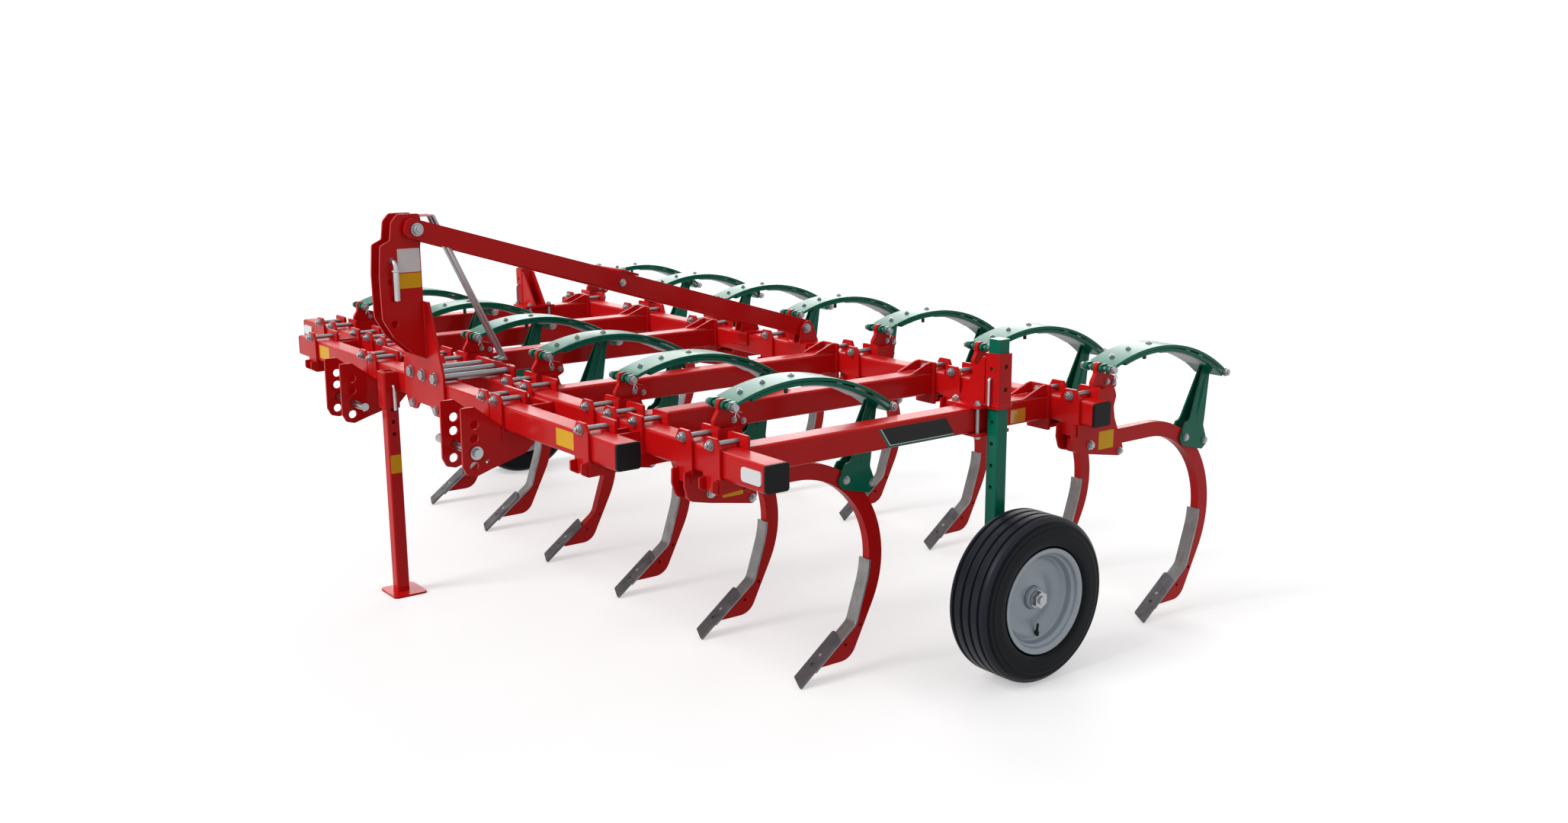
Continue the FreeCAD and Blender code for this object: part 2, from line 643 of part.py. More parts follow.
def link_brackets():
    """Plates for the lower links, clamped to the front beam; the pins stick out inboard."""
    front = cell("front_line") - cell("middle_line")
    cheek = [(-460, 1072, 8), (-403, 1072, 12), (front - back - 1.5, 984, 4),
             (front - back - 1.5, beam_low - 1),
             (front + back, beam_low - 1), (front + back, beam_high - 12, 8),
             (-back - 1, beam_high - 12, 8), (-back - 1, beam_low + 4), (-98, beam_low + 4, 8),
             (-112, 912, 14), (-148, 895, 20),
             (-184, 857, 40), (-345, 810, 20), (-407, 790, 14), (-445, 800, 14), (-462, 835, 14)]
    holes = [(-405, 1000, 19), (-408, 944, 19), (-406, 888, 18.6), (-413, 832, 19), (-355, 845, 8)]
    middle = (cell("link_inner") + cell("link_outer")) / 2
    reach = (cell("link_outer") - cell("link_inner")) / 2
    cheeks = [plate("link_cheek_%d" % k, "YZ", cheek, "Sizes.plate", holes=holes,
                    place=at(x=s * reach)) for k, s in enumerate((-1, 1), 1)]
    y = front + face + cell("plate") / 2
    wall = [(-reach, beam_low - 40), (reach, beam_low - 40), (reach, clamp_top, 8),
            (-reach, clamp_top, 8)]
    drill = [(sx, bolt_z, cell("clamp_bolt") / 2 + 0.5) for sx in (-55, 55)]
    walls = [plate("link_wall", "XZ", wall, "Sizes.plate", holes=drill, place=at(y=y))]
    seat = [(-reach + 40, 905), (reach, 905), (reach, beam_high - 12), (-reach + 40, beam_high - 12)]
    walls.append(plate("link_seat", "XZ", seat, "25", place=at(y=-face - 12.5)))
    bracket = fuse("link_bracket", cheeks + walls)
    mirrored = doc.addObject("Part::Mirroring", "link_bracket_mirrored")
    mirrored.Source = bracket
    mirrored.Normal = Vector(1, 0, 0)
    repeat("lower_link_brackets", [
        (bracket, "(Sizes.link_inner + Sizes.link_outer) / 2", "Sizes.middle_line", ""),
        (mirrored, "-(Sizes.link_inner + Sizes.link_outer) / 2", "Sizes.middle_line", "")])
    pin_y = cell("middle_line") - 406
    pins = []
    for k, s in enumerate(BOTH_SIDES, 1):
        low = 401 if s > 0 else -770
        collar = cell("link_outer") + 6.5 if s > 0 else -cell("link_outer") - 18.5
        pins.append(fuse("link_pin_%d" % k, [
            rod("link_pin_journal_%d" % k, "X", "Sizes.link_pin / 2", 137,
                (400 if s > 0 else -537, pin_y, 888)),
            rod("link_pin_rod_%d" % k, "X", "Sizes.link_pin / 2 - 0.4", 369, (low, pin_y, 888)),
            rod("link_pin_collar_%d" % k, "X", 27, 12, (collar, pin_y, 888))]))
    repeat("lower_link_pins", [(p, "", "", "") for p in pins])


def stays():
    """Two flat bars from the mast's top to saddles on the rear beam, tied by a cross plate."""
    line = cell("front_line")
    starts, ends = Vector(0, line - 90, 1720), Vector(0, cell("rear_line") - 20, 1142)
    x_front, x_rear = 74, 250
    bars = []
    for k, s in enumerate(BOTH_SIDES, 1):
        a = Vector(s * x_front, starts.y, starts.z)
        b = Vector(s * x_rear, ends.y, ends.z)
        run = (b - a).Length
        half = cell("stay_depth") / 2
        bar = [(-48, -half, 30), (run + 44, -half, 30), (run + 44, half, 30), (-48, half, 30)]
        along_x = (b - a).normalize()
        up = Vector(0, 0, 1)
        side = up.cross(along_x).normalize()
        up = along_x.cross(side)
        turn = Rotation(FreeCAD.Matrix(along_x.x, side.x, up.x, 0, along_x.y, side.y, up.y, 0,
                                       along_x.z, side.z, up.z, 0, 0, 0, 0, 1))
        bars.append(plate("stay_bar_%d" % k, "XZ", bar, "Sizes.stay_thick",
                          holes=[(0, 0, 12), (run, 0, 14.5)], place=Placement(a, turn)))
    repeat("stays", [(bar, "", "", "") for bar in bars])
    t = 0.5
    mid = starts + (ends - starts) * t
    slope = math.degrees(math.atan2(starts.z - ends.z, ends.y - starts.y))
    lift = cell("stay_depth") / 2 + 1.5
    cross = [(-185, -52, 12), (185, -52, 12), (185, 52, 12), (-185, 52, 12)]
    normal = Vector(0, math.sin(math.radians(slope)), math.cos(math.radians(slope)))
    node(plate("cross_plate_body", "XY", cross, "10", midplane=False,
               place=Placement(mid + normal * lift, Rotation(Vector(1, 0, 0), -slope))),
         "stay_cross_plate")
    # saddles
    strap = [(-face - 10, 1000), (-face - 10, beam_high + 10.5, 16), (face + 10, beam_high + 10.5, 16),
             (face + 10, 1000), (face, 1000), (face, beam_high + 0.5, 6),
             (-face, beam_high + 0.5, 6), (-face, 1000)]
    ear = [(-62, beam_high + 10), (-48, 1150, 20), (-20 - 0, 1182, 30), (16, 1170, 30),
           (58, beam_high + 10)]
    reach = cell("stay_thick") / 2 + 12
    saddle = fuse("saddle", [plate("saddle_strap", "YZ", strap, "150"),
                             plate("saddle_ear_1", "YZ", ear, "10", holes=[(-20, 1142, 12.5)],
                                   place=at(x=reach)),
                             plate("saddle_ear_2", "YZ", ear, "10", holes=[(-20, 1142, 12.5)],
                                   place=at(x=-reach))])
    repeat("stay_saddles", [(saddle, "%d" % (s * x_rear), "Sizes.rear_line", "")
                            for s in BOTH_SIDES])
    grip = 2 * (reach + 5)
    rear_bolt = bolt("stay_rear_bolt", "X", 12, grip, (-reach - 5, -20, 1142), across=36)
    front_bolt = bolt("stay_front_bolt", "X", 10, 2 * (x_front + 17), (-x_front - 17, -90, 1720),
                      across=30)
    repeat("stay_bolts", [(rear_bolt, "%d" % (s * x_rear), "Sizes.rear_line", "")
                          for s in BOTH_SIDES] + [(front_bolt, "", "Sizes.front_line", "")])


def hose_holders():
    """Spacer between the mast sides with two flat bars that keep the hoses off the tools."""
    line = cell("front_line")
    spacer = block("mast_spacer", (-39, line - 78, 1690), (39, line - 60, 1772))
    bar = [(line - 66, 1776), (line + 16, 1776, 16), (line + 330, 1112), (line + 291, 1112),
           (line + 291, 1120), (line + 318, 1120, 6), (line + 7, 1768, 10), (line - 66, 1768)]
    holders = [plate("hose_bar_%d" % k, "YZ", bar, "26", place=at(x=x))
               for k, x in enumerate((22, -22), 1)]
    node(fuse("hose_holder_body", [spacer] + holders), "hose_holders")


# ---------------------------------------------------------------- parking stand

def stand():
    x, size_ = cell("stand_station"), cell("stand_size")
    y = cell("front_line") - half_beam - 2 - size_ / 2
    tube = square_tube("stand_tube", "XY", size_, 5, 8, "1045", place=at(x, y, 10 + 1045 / 2))
    drills = [rod("stand_hole_%d" % k, "X", 8.5, size_ + 20, (x - size_ / 2 - 10, y, 991 - 57 * k))
              for k in range(5)]
    tube = cut("stand_drilled_tube", tube, drills)
    foot = [(-90, -80, 20), (90, -80, 20), (90, 80, 20), (-90, 80, 20)]
    shoe = plate("stand_shoe", "XY", foot, "10", midplane=False, place=at(x + 5, y + 10, 0))
    node(fuse("stand_body", [tube, shoe]), "parking_stand")
    reach = size_ / 2 + 1.5
    low, high = 885, 1052
    shell = [(-reach - 9, size_ / 2 + 2), (-reach - 9, -reach - 9, 14), (reach + 9, -reach - 9, 14),
             (reach + 9, size_ / 2 + 2), (reach, size_ / 2 + 2), (reach, -reach, 5),
             (-reach, -reach, 5), (-reach, size_ / 2 + 2)]
    node(plate("stand_sleeve_body", "XY", shell, "%d" % (high - low), midplane=False,
               place=at(x, y, low)), "stand_sleeve")
    z = 991
    pin = fuse("stand_pin_body", [rod("stand_pin_rod", "X", 8, 16, (x + reach + 9, y, z)),
                                  block("stand_pin_leg", (x + reach + 18, y - 7, z - 115),
                                        (x + reach + 25, y + 7, z + 7))])
    node(pin, "stand_pin")


# ---------------------------------------------------------------- depth wheels

def revolve(name, points, alias_holes=()):
    """A ring about the body's X axis; the sketch is (along X, radius)."""
    body, sketch = new_body(name, "XY")
    outline(sketch, points)
    turn = body.newObject("PartDesign::Revolution", name + "_turn")
    turn.Profile = sketch
    turn.ReferenceAxis = (sketch, ["H_Axis"])
    turn.Angle = 360
    body.Tip = turn
    return body


def wheels():
    radius, width = cell("wheel_radius"), cell("wheel_width")
    half = width / 2
    tread = []
    ribs = (-66, -22, 22, 66)
    for x in ribs:
        tread += [(x - 7, radius), (x - 5, radius - 11), (x + 5, radius - 11), (x + 7, radius)]
    tyre = [(-93, 198.5), (-93, 217, 3), (-103, 222, 6), (-half, 256, 40),
            (-half + 4, radius - 26, 18), (-half + 22, radius - 3, 8)]
    tyre += tread
    tyre += [(half - 22, radius - 3, 8), (half - 4, radius - 26, 18), (half, 256, 40),
             (103, 222, 6), (93, 217, 3), (93, 198.5)]
    # the air space inside the casing
    tyre += [(80, 198.5), (80, 214), (96, 256, 36), (94, 300, 20), (74, 318, 12),
             (-74, 318, 12), (-94, 300, 20), (-96, 256, 36), (-80, 214), (-80, 198.5)]
    tyre_ring = revolve("tyre_ring", tyre)
    # stepped barrel with the disc set well inside
    rim = [(-103, 213), (-96, 213), (-95, 196), (95, 196), (96, 213), (103, 213), (101, 190),
           (80, 186), (74, 176), (50, 173), (43, 163), (30, 156), (22, 118), (32, 76), (34, 46),
           (26, 46), (24, 72), (13, 118), (20, 166), (12, 188), (-98, 188)]
    rim_ring = revolve("rim_ring", rim)
    bore = cell("axle_size") / 2 + cell("running_gap")
    hub = [(-118, bore), (-118, 40, 4), (2, 40, 4), (12, 64, 4), (23.4, 64, 1), (23.4, 45),
           (48, 45, 6), (54, 38, 3), (54, bore)]
    hub_ring = revolve("hub_ring", hub)
    side = cell("post_size")
    axle_in = cell("post_station") + side / 2
    for name, s in (("left", 1), ("right", -1)):
        for source, part in ((tyre_ring, "tyre"), (rim_ring, "rim"), (hub_ring, "hub")):
            link = doc.addObject("App::Link", "%s_%s_link" % (part, name))
            link.LinkedObject = source
            link.LinkTransform = True
            link.Placement = Placement(Vector(), Rotation(Vector(0, 0, 1), 0 if s > 0 else 180))
            link.setExpression("Placement.Base.x", "%d * Sizes.wheel_station" % s)
            link.setExpression("Placement.Base.y", "Sizes.wheel_line")
            link.setExpression("Placement.Base.z", "Sizes.wheel_radius")
            group = doc.addObject("Part::Compound", "%s_%s" % (part, name))
            group.Links = [link]
            node(group, "wheel_%s_%s" % (part, name))
        top, low = cell("post_top"), cell("wheel_radius") - 45
        tube = square_tube("post_tube_" + name, "XY", side, 0, 8, "%g" % (top - low),
                           place=at(s * cell("post_station"), cell("wheel_line"), (top + low) / 2))
        tools = [rod("post_hole_%s_%d" % (name, k), "Y", 8.5, side + 20,
                     (s * cell("post_station"), cell("wheel_line") - side / 2 - 10, top - 66 - 88 * k))
                 for k in range(7)]
        drilled = cut("post_drilled_" + name, tube, tools)
        middle, line, height = cell("wheel_station"), cell("wheel_line"), cell("wheel_radius")

        def on_axle(inner, outer):
            """Lowest X and length of a piece between two distances outboard of the wheel's middle."""
            return (middle + inner if s > 0 else -middle - outer), outer - inner

        parts = [drilled]
        for what, inner, outer, size_ in (
                ("stub_axle", axle_in - 1 - middle, 62, "Sizes.axle_size / 2"),
                ("axle_collar", axle_in - 1 - middle, axle_in + 21 - middle, 34),
                ("axle_washer", 55, 60, 36), ("axle_end", 62, 90, 17)):
            start, run = on_axle(inner, outer)
            parts.append(rod("%s_%s" % (what, name), "X", size_, run, (start, line, height)))
        start, run = on_axle(60, 82)
        parts.append(hexagon("axle_nut_" + name, "X", 60, run, (start, line, height)))
        node(fuse("post_" + name, parts), "wheel_post_" + name)


def wheel_brackets():
    """Base plate on the outer side beam, with the square sleeve of the wheel post."""
    inner = cell("post_size") / 2 + 1.5
    outer = inner + 8
    line = cell("wheel_line")
    offset = cell("post_station") - (cell("tine_pitch") * 2.5 + cell("side_beam_lead"))
    sleeves = []
    neck = outer + 2.5
    base = [(-92, -95, 12), (82, -95, 12), (82, -neck), (offset + neck, -neck, 5),
            (offset + neck, neck, 5), (82, neck), (82, 95, 12), (-92, 95, 12)]
    hole = square(2 * inner, 6)
    body, sketch = new_body("wheel_base", "XY", at(z=beam_high + 0.5))
    outline(sketch, base)
    outline(sketch, hole, lift=(offset, 0))
    for x, y in ((-74, -62), (-74, 62), (62, -72), (62, 72)):
        circle(sketch, x, y, radius=8.5)
    pad(body, sketch, "12", midplane=False)
    body2, sketch2 = new_body("wheel_sleeve", "XY", at(x=offset, z=beam_high + 12.5))
    outline(sketch2, square(2 * outer, 12))
    outline(sketch2, square(2 * inner, 6))
    pad(body2, sketch2, "207", midplane=False)
    wing = [(-88, 1072.5), (offset - outer, 1072.5), (offset - outer, 1262, 10), (offset - outer - 12, 1262)]
    wings = [plate("wheel_wing_%d" % k, "XZ", wing, "10", place=at(y=y))
             for k, y in enumerate((-33, 33), 1)]
    solid = fuse("wheel_bracket_solid", [body, body2] + wings)
    drills = [rod("sleeve_side_hole_%d" % k, "X", 9.5, 14, (offset + inner - 3, 0, z))
              for k, z in enumerate((1137, 1228), 1)]
    drills.append(rod("sleeve_front_hole", "Y", 8.5, 14, (offset, -outer - 3, 1218)))
    upper = cut("wheel_bracket", solid, drills)
    mirrored = doc.addObject("Part::Mirroring", "wheel_bracket_mirrored")
    mirrored.Source = upper
    mirrored.Normal = Vector(1, 0, 0)
    place = "(Sizes.tine_pitch * 2.5 + Sizes.side_beam_lead)"
    repeat("wheel_brackets", [(upper, place, "Sizes.wheel_line", ""),
                              (mirrored, "-" + place, "Sizes.wheel_line", "")])
    locks = []
    for k, s in enumerate(BOTH_SIDES, 1):
        x, y, z = s * cell("post_station"), line - outer, 1181
        locks.append(fuse("wheel_pin_%d" % k, [
            rod("wheel_pin_end_%d" % k, "Y", 7, 18, (x, y - 18, z)),
            rod("wheel_pin_leg_%d" % k, "Z", 6, 104, (x, y - 11, z - 102))]))
    repeat("wheel_pins", [(lock, "", "", "") for lock in locks])
    under = [(-92, -95, 12), (80, -95, 12), (80, -36), (62, -36, 6), (62, 36, 6), (80, 36),
             (80, 95, 12), (-92, 95, 12)]
    drill = [(-74, -62, 8.5), (-74, 62, 8.5), (62, -72, 8.5), (62, 72, 8.5)]
    lower = plate("wheel_under", "XY", under, "12", holes=drill, midplane=False,
                  place=at(z=beam_low - 12.5))
    lower_mirror = doc.addObject("Part::Mirroring", "wheel_under_mirrored")
    lower_mirror.Source = lower
    lower_mirror.Normal = Vector(1, 0, 0)
    repeat("wheel_under_plates", [(lower, place, "Sizes.wheel_line", ""),
                                  (lower_mirror, "-" + place, "Sizes.wheel_line", "")])
    grip = beam_high - beam_low + 25
    bolts = []
    for s in BOTH_SIDES:
        for k, (x, y) in enumerate(((-74, -62), (-74, 62), (62, -72), (62, 72)), 1):
            b = bolt("wheel_bolt_%s_%d" % ("l" if s > 0 else "r", k), "Z", 8, grip,
                     (s * x, y, beam_low - 12.5), head=10, nut=12, across=24)
            bolts.append((b, "%d * %s" % (s, place), "Sizes.wheel_line", ""))
    repeat("wheel_bracket_bolts", bolts)


beams()
clamps()
flanges()
ties()
tine_brackets()
shanks()
wear_plates()
shares()
springs()
yokes()
headstock()
link_brackets()
stays()
hose_holders()
stand()
wheels()
wheel_brackets()
doc.recompute()

# ---------------------------------------------------------------- checks and files
for obj in doc.Objects:
    if "Invalid" in obj.State or "Error" in obj.State:
        raise RuntimeError("%s failed: %s" % (obj.Label, obj.State))
os.makedirs("parts", exist_ok=True)
for obj in NODES:
    shape = obj.Shape
    if shape.isNull() or not shape.isValid():
        raise RuntimeError("%s has no valid shape" % obj.Label)
    shape.exportStep(os.path.join("parts", obj.Label + ".step"))
    print("%-26s %2d solids %9.0f cm3" % (obj.Label, len(shape.Solids), shape.Volume / 1000))
print(len(NODES), "sub-parts")
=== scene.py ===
import json
import math

import bmesh
import bpy
from mathutils import Matrix, Vector

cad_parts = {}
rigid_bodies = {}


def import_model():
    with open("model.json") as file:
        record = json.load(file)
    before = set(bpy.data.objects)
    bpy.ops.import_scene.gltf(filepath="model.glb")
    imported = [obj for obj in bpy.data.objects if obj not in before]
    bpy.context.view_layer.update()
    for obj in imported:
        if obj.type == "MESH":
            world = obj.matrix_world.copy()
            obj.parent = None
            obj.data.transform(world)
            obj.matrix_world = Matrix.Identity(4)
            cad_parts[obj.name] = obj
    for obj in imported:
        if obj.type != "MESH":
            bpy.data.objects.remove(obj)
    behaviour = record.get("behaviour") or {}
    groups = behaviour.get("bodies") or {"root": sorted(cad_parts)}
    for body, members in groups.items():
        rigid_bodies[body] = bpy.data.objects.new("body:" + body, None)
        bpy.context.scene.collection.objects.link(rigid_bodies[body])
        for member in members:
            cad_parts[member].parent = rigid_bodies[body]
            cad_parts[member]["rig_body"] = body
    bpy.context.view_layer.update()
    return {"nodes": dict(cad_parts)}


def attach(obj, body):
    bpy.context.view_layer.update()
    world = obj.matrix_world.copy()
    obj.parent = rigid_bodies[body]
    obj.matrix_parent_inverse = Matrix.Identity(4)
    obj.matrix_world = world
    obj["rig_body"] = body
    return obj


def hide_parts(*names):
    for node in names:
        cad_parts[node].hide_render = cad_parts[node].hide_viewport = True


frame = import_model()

bl_info = {
    "name": "Chisel plough finishing",
    "version": (1, 0, 0),
    "blender": (4, 5, 0),
    "location": "3D View > Sidebar > Plough",
    "description": "Paint, rounded edges, fittings, wheels, labels and a studio for a plough",
    "category": "Object",
}

# Sizes in millimetres, in the plough's own frame: X to its left, Y to its rear, Z up.
MM = 0.001
FRONT, MIDDLE, REAR = -1248.0, -1020.0, 621.0
BEAM_HALF = 50.0            # half the side of a beam
PLATE_BACK = 62.5           # beam axis to the far face of a clamp plate
CLAMP_BOLT_HEIGHT = 1078.0
PITCH = 684.0
FRONT_TINES = [(PITCH * (k + 0.5), MIDDLE) for k in range(-3, 3)]
REAR_TINES = [(PITCH * k, REAR) for k in range(-3, 4)]
TINES = FRONT_TINES + REAR_TINES
SHANK_MIDDLE = (720.0, 950.0)       # behind the beam and above the ground, near the yoke
SIDE_BEAMS = [side * (PITCH * k + 172.0) for side in (1, -1) for k in (0.5, 1.5, 2.5)]
OUTER_BEAM = PITCH * 2.5 + 172.0
SIDES = (("left", 1), ("right", -1))
SQUARE = ((-1, -1), (1, -1), (1, 1), (-1, 1))       # corners in turn
FRAME_TIE = 1380.0
LINK_PLATES = (585.0, 695.0)
# Long bolts that clamp ties, link plates and side beams on, as station and beam.
THROUGH_BOLTS = [(s * FRAME_TIE, line) for s in (1, -1) for line in (FRONT, MIDDLE)]
THROUGH_BOLTS += [(s * x, FRONT) for s in (1, -1) for x in LINK_PLATES]
THROUGH_BOLTS += [(x, line) for x in SIDE_BEAMS for line in (MIDDLE, REAR)]
# Long bolts of the headstock: station, height, washer radius, shank radius, shank sides.
HEADSTOCK_BOLTS = [(x, 1081.0, 28.0, 15.4, 28) for x in (-125.0, 0.0, 125.0)]
HEADSTOCK_BOLTS += [(x, 942.0, 20.0, 10.4, 24) for x in (-121.0, 121.0)]
# Ends of the stays: station, distance behind the frame's middle, height.
STAY_FRONT = (91.0, FRONT - 90, 1720.0)
STAY_REAR = (250.0, REAR - 20, 1142.0)
MAST_FACE = 51.0            # outer face of a mast plate
PARKED_PIN = (FRONT - 192, 1592.0)
# Past these, the hose holders are painted: the front of their feet and their bent tops.
HOLDER_FRONT, HOLDER_TOP = -1309.0, 1766.5
# Bolts across a tine: reach from its middle, place behind the beam, height, washer radius.
TINE_BOLTS = ((45, 21, 868, 19.5), (45, 205, 818, 16), (30, 664, 808, 17), (30, 797, 778, 17),
              (10, 150, 1113, 12.5), (10, 192, 1104, 12.5))

# Curves of the upper faces of the two leaves, about the beam's line: centre and radius.
UPPER_CURVE = ((408.76, 474.07), 769.0)
LOWER_CURVE = ((403.20, 506.17), 722.31)
SPRING_EYE = (105.0, 1173.5)
SHARE_START = (431.0, 9.88)
SHARE_SLOPE = math.radians(37)
# The yokes' arms lean to the rear and draw in towards the spring, from foot to top. Each shift
# is that of an arm's back edge, then what each millimetre before that edge adds to it.
ARM_FOOT, ARM_TOP, ARM_BACK = 880.0, 1120.0, 820.0
ARM_DRAWN_IN = 17.0
ARM_LEAN = (11.0, 0.317)
ARM_DROP = (-8.0, -0.127)

# Depth wheels.
WHEEL_STATION, WHEEL_LINE, WHEEL_HEIGHT = 2165.0, 218.0, 335.0
POST_STATION = 1982.0
POST_HALF = 30.5            # middle of a wheel post to the face that its axle leaves
SLEEVE_HALF = 39.5          # half the side of a wheel post's sleeve
TREAD_EDGE = 317.5          # radius where a tyre's tread begins
WHEEL_PLATE_BOLTS = [(side * (OUTER_BEAM + x), WHEEL_LINE + y) for side in (1, -1)
                     for x, y in ((-74, -62), (-74, 62), (62, -72), (62, 72))]
STAND_STATION, STAND_LINE = -345.0, -1330.0
STAND_SLEEVE_HALF = 40.5

# The studio, in metres and degrees: half the floor's side, then the camera's place and its
# azimuth, elevation and roll.
FLOOR_REACH = 120.0
CAMERA_PLACE = (5.892, -3.825, 2.211)
CAMERA_TURN = (52.3906, 12.2763, -0.1606)

FINISH_OF_SLOT = {
    "red_paint": "red_enamel",
    "green_paint": "green_enamel",
    "wear_steel": "forged_share_steel",
    "zinc": "zinc_plated_steel",
    "rim_silver": "silver_wheel_enamel",
    "black_cap": "moulded_black_plastic",
    "tyre_rubber": "tread_rubber",
}
SLOT_OF_FINISH = {finish: slot for slot, finish in FINISH_OF_SLOT.items()}
# Finishes that differ from what a node's slot gives.
FINISH_OF_NODE = {"wear_plates": "rolled_wear_steel", "lower_link_pins": "polished_pin_steel"}
# Edge rounding in millimetres and its segments, where it isn't the plain plate's.
ROUNDING = {
    "beam_end_caps": (3.0, 3),
    "lower_link_pins": (3.0, 2),
    "shares": (2.0, 2),
    "wear_plates": (3.0, 2),
    "clamp_bolts": (1.3, 1),
    "headstock_bolts": (1.8, 1),
    "pivot_bolts": (1.2, 1),
    "stop_bolts": (1.0, 1),
    "hook_bolts": (0.9, 1),
    "yoke_bolts": (1.1, 1),
    "spring_pins": (1.2, 1),
    "wheel_bracket_bolts": (1.1, 1),
    "stay_bolts": (1.4, 1),
}
PLAIN_ROUNDING = (1.5, 2)
# Nodes that a piece of their own replaces.
REMODELLED = {"wheel_tyre_left", "wheel_tyre_right", "wheel_rim_left", "wheel_rim_right",
              "wheel_hub_left", "wheel_hub_right", "wheel_pins", "stand_pin", "mast_pin",
              "spring_upper_leaves", "spring_lower_leaves", "spring_yokes"}

finishes = {}


# ---------- settings

def linear(code):
    """Linear colour with alpha from an sRGB hex value."""
    parts = [int(code[k:k + 2], 16) / 255 for k in (0, 2, 4)]
    return tuple(c / 12.92 if c <= 0.04045 else ((c + 0.055) / 1.055) ** 2.4
                 for c in parts) + (1.0,)


def colour_setting(title, note, code):
    """A colour property whose default is an sRGB hex value."""
    return bpy.props.FloatVectorProperty(name=title, description=note, subtype="COLOR", size=4,
                                         min=0.0, max=1.0, default=linear(code))


def length_setting(title, note, size):
    """A length property whose default is in millimetres."""
    return bpy.props.FloatProperty(name=title, description=note, default=size * MM, min=0.0,
                                   unit="LENGTH", subtype="DISTANCE", precision=4)


def plain_setting(title, note, value):
    """A plain number property."""
    return bpy.props.FloatProperty(name=title, description=note, default=value, min=0.0)


class PLOUGH_PG_colours(bpy.types.PropertyGroup):
    """Colours of the plough's finishes."""

    red: colour_setting("Frame red", "Gloss enamel of the beams, brackets and tines", "CE1315")
    green: colour_setting("Spring green", "Gloss enamel of springs, yokes and posts", "007058")
    zinc: colour_setting("Zinc", "Plated bolts and pins", "A6A8AB")
    share: colour_setting("Share steel", "Forged points", "6C6B6E")
    wear: colour_setting("Wear steel", "Rolled plates in front of the shanks", "908F8F")
    rim: colour_setting("Wheel silver", "Sprayed enamel of rims and hubs", "A6B0BA")
    # the rubber's slight blue tint is a painted reflection of the sky
    rubber: colour_setting("Tyre rubber", "Casing of the depth wheels", "0D1119")
    cap: colour_setting("Cap black", "Moulded plugs in the beams' ends", "0B0B0D")
    yellow: colour_setting("Label yellow", "Vinyl labels", "EDB312")
    white: colour_setting("Label white", "Vinyl label and reflectors", "ECEDEF")
    amber: colour_setting("Amber", "Side reflectors", "E79A18")


class PLOUGH_PG_sizes(bpy.types.PropertyGroup):
    """Sizes of the small things that finish the plough."""

    washer_thickness: length_setting("Washer", "Thickness of the plain washers", 3.2)
    bead: length_setting("Weld bead", "Half width of the weld beads", 4.0)
    ripple: length_setting("Weld ripple", "Distance between the ripples of a bead", 6.0)
    label_film: length_setting("Label", "How far a vinyl label stands proud", 0.5)
    leaf: length_setting("Leaf", "Thickness of a spring leaf", 13.5)
    leaf_width: length_setting("Leaf width", "Width of a spring leaf", 145.0)
    reflector: length_setting("Reflector", "How far a reflector stands proud", 6.0)
    locking_pin: length_setting("Locking pin", "Radius of the bent locking pins", 6.5)


class PLOUGH_PG_studio(bpy.types.PropertyGroup):
    """Light and floor."""

    sky: plain_setting("Sky", "Strength of the even light from all round", 0.48)
    key: plain_setting("Key", "Strength of the soft light from the front", 1.75)
    back: plain_setting("Back", "Strength of the bright patch of sky behind", 1.30)
    floor: colour_setting("Floor", "Pale studio floor", "D8D8D8")
    ground: plain_setting("Ground", "How much of the floor's soft light comes back up", 0.5)
    glow: plain_setting("Floor glow", "How much light the floor gives by itself", 0.42)


# ---------- materials

def per_mm(size):
    """Texture scale for a pattern of this size in millimetres."""
    return 1.0 / (size * MM)


def put(tree, kind, values=None, links=None, **settings):
    """Adds one node with its settings, its plain values and the sockets that feed it."""
    made = tree.nodes.new(kind)
    for key, value in settings.items():
        setattr(made, key, value)
    for key, value in (values or {}).items():
        made.inputs[key].default_value = value
    for key, source in (links or {}).items():
        tree.links.new(source, made.inputs[key])
    return made


def start_finish(name, values, cloud=None, detail=3.0):
    """Starts a material whose shader has these uniform values.

    Gives its tree, its shader, object coordinates and, where a size in millimetres is given, a
    cloudy pattern of that size.
    """
    material = bpy.data.materials.new(name)
    material.use_nodes = True
    finishes[name] = material
    tree = material.node_tree
    shader = tree.nodes["Principled BSDF"]
    for key, value in values.items():
        shader.inputs[key].default_value = value
    place = put(tree, "ShaderNodeTexCoord").outputs["Object"]
    if cloud is None:
        return tree, shader, place, None
    noise = put(tree, "ShaderNodeTexNoise", {"Scale": per_mm(cloud), "Detail": detail},
                {"Vector": place})
    return tree, shader, place, noise.outputs["Fac"]


def emptied_tree(owner):
    """The node tree of a material or a world, with nothing in it."""
    owner.use_nodes = True
    owner.node_tree.nodes.clear()
    return owner.node_tree


def seen_rays(tree):
    """The light path node, and a value that is 1 for camera, glossy and transmission rays."""
    ray = put(tree, "ShaderNodeLightPath")
    seen = ray.outputs["Is Camera Ray"]
    for kind in ("Is Glossy Ray", "Is Transmission Ray"):
        seen = put(tree, "ShaderNodeMath", {}, {0: seen, 1: ray.outputs[kind]},
                   operation="MAXIMUM").outputs[0]
    return ray, seen


def dimmed(colour, factor):
    """The same hue, darker or lighter."""
    return tuple(min(1.0, c * factor) for c in colour[:3]) + (1.0,)


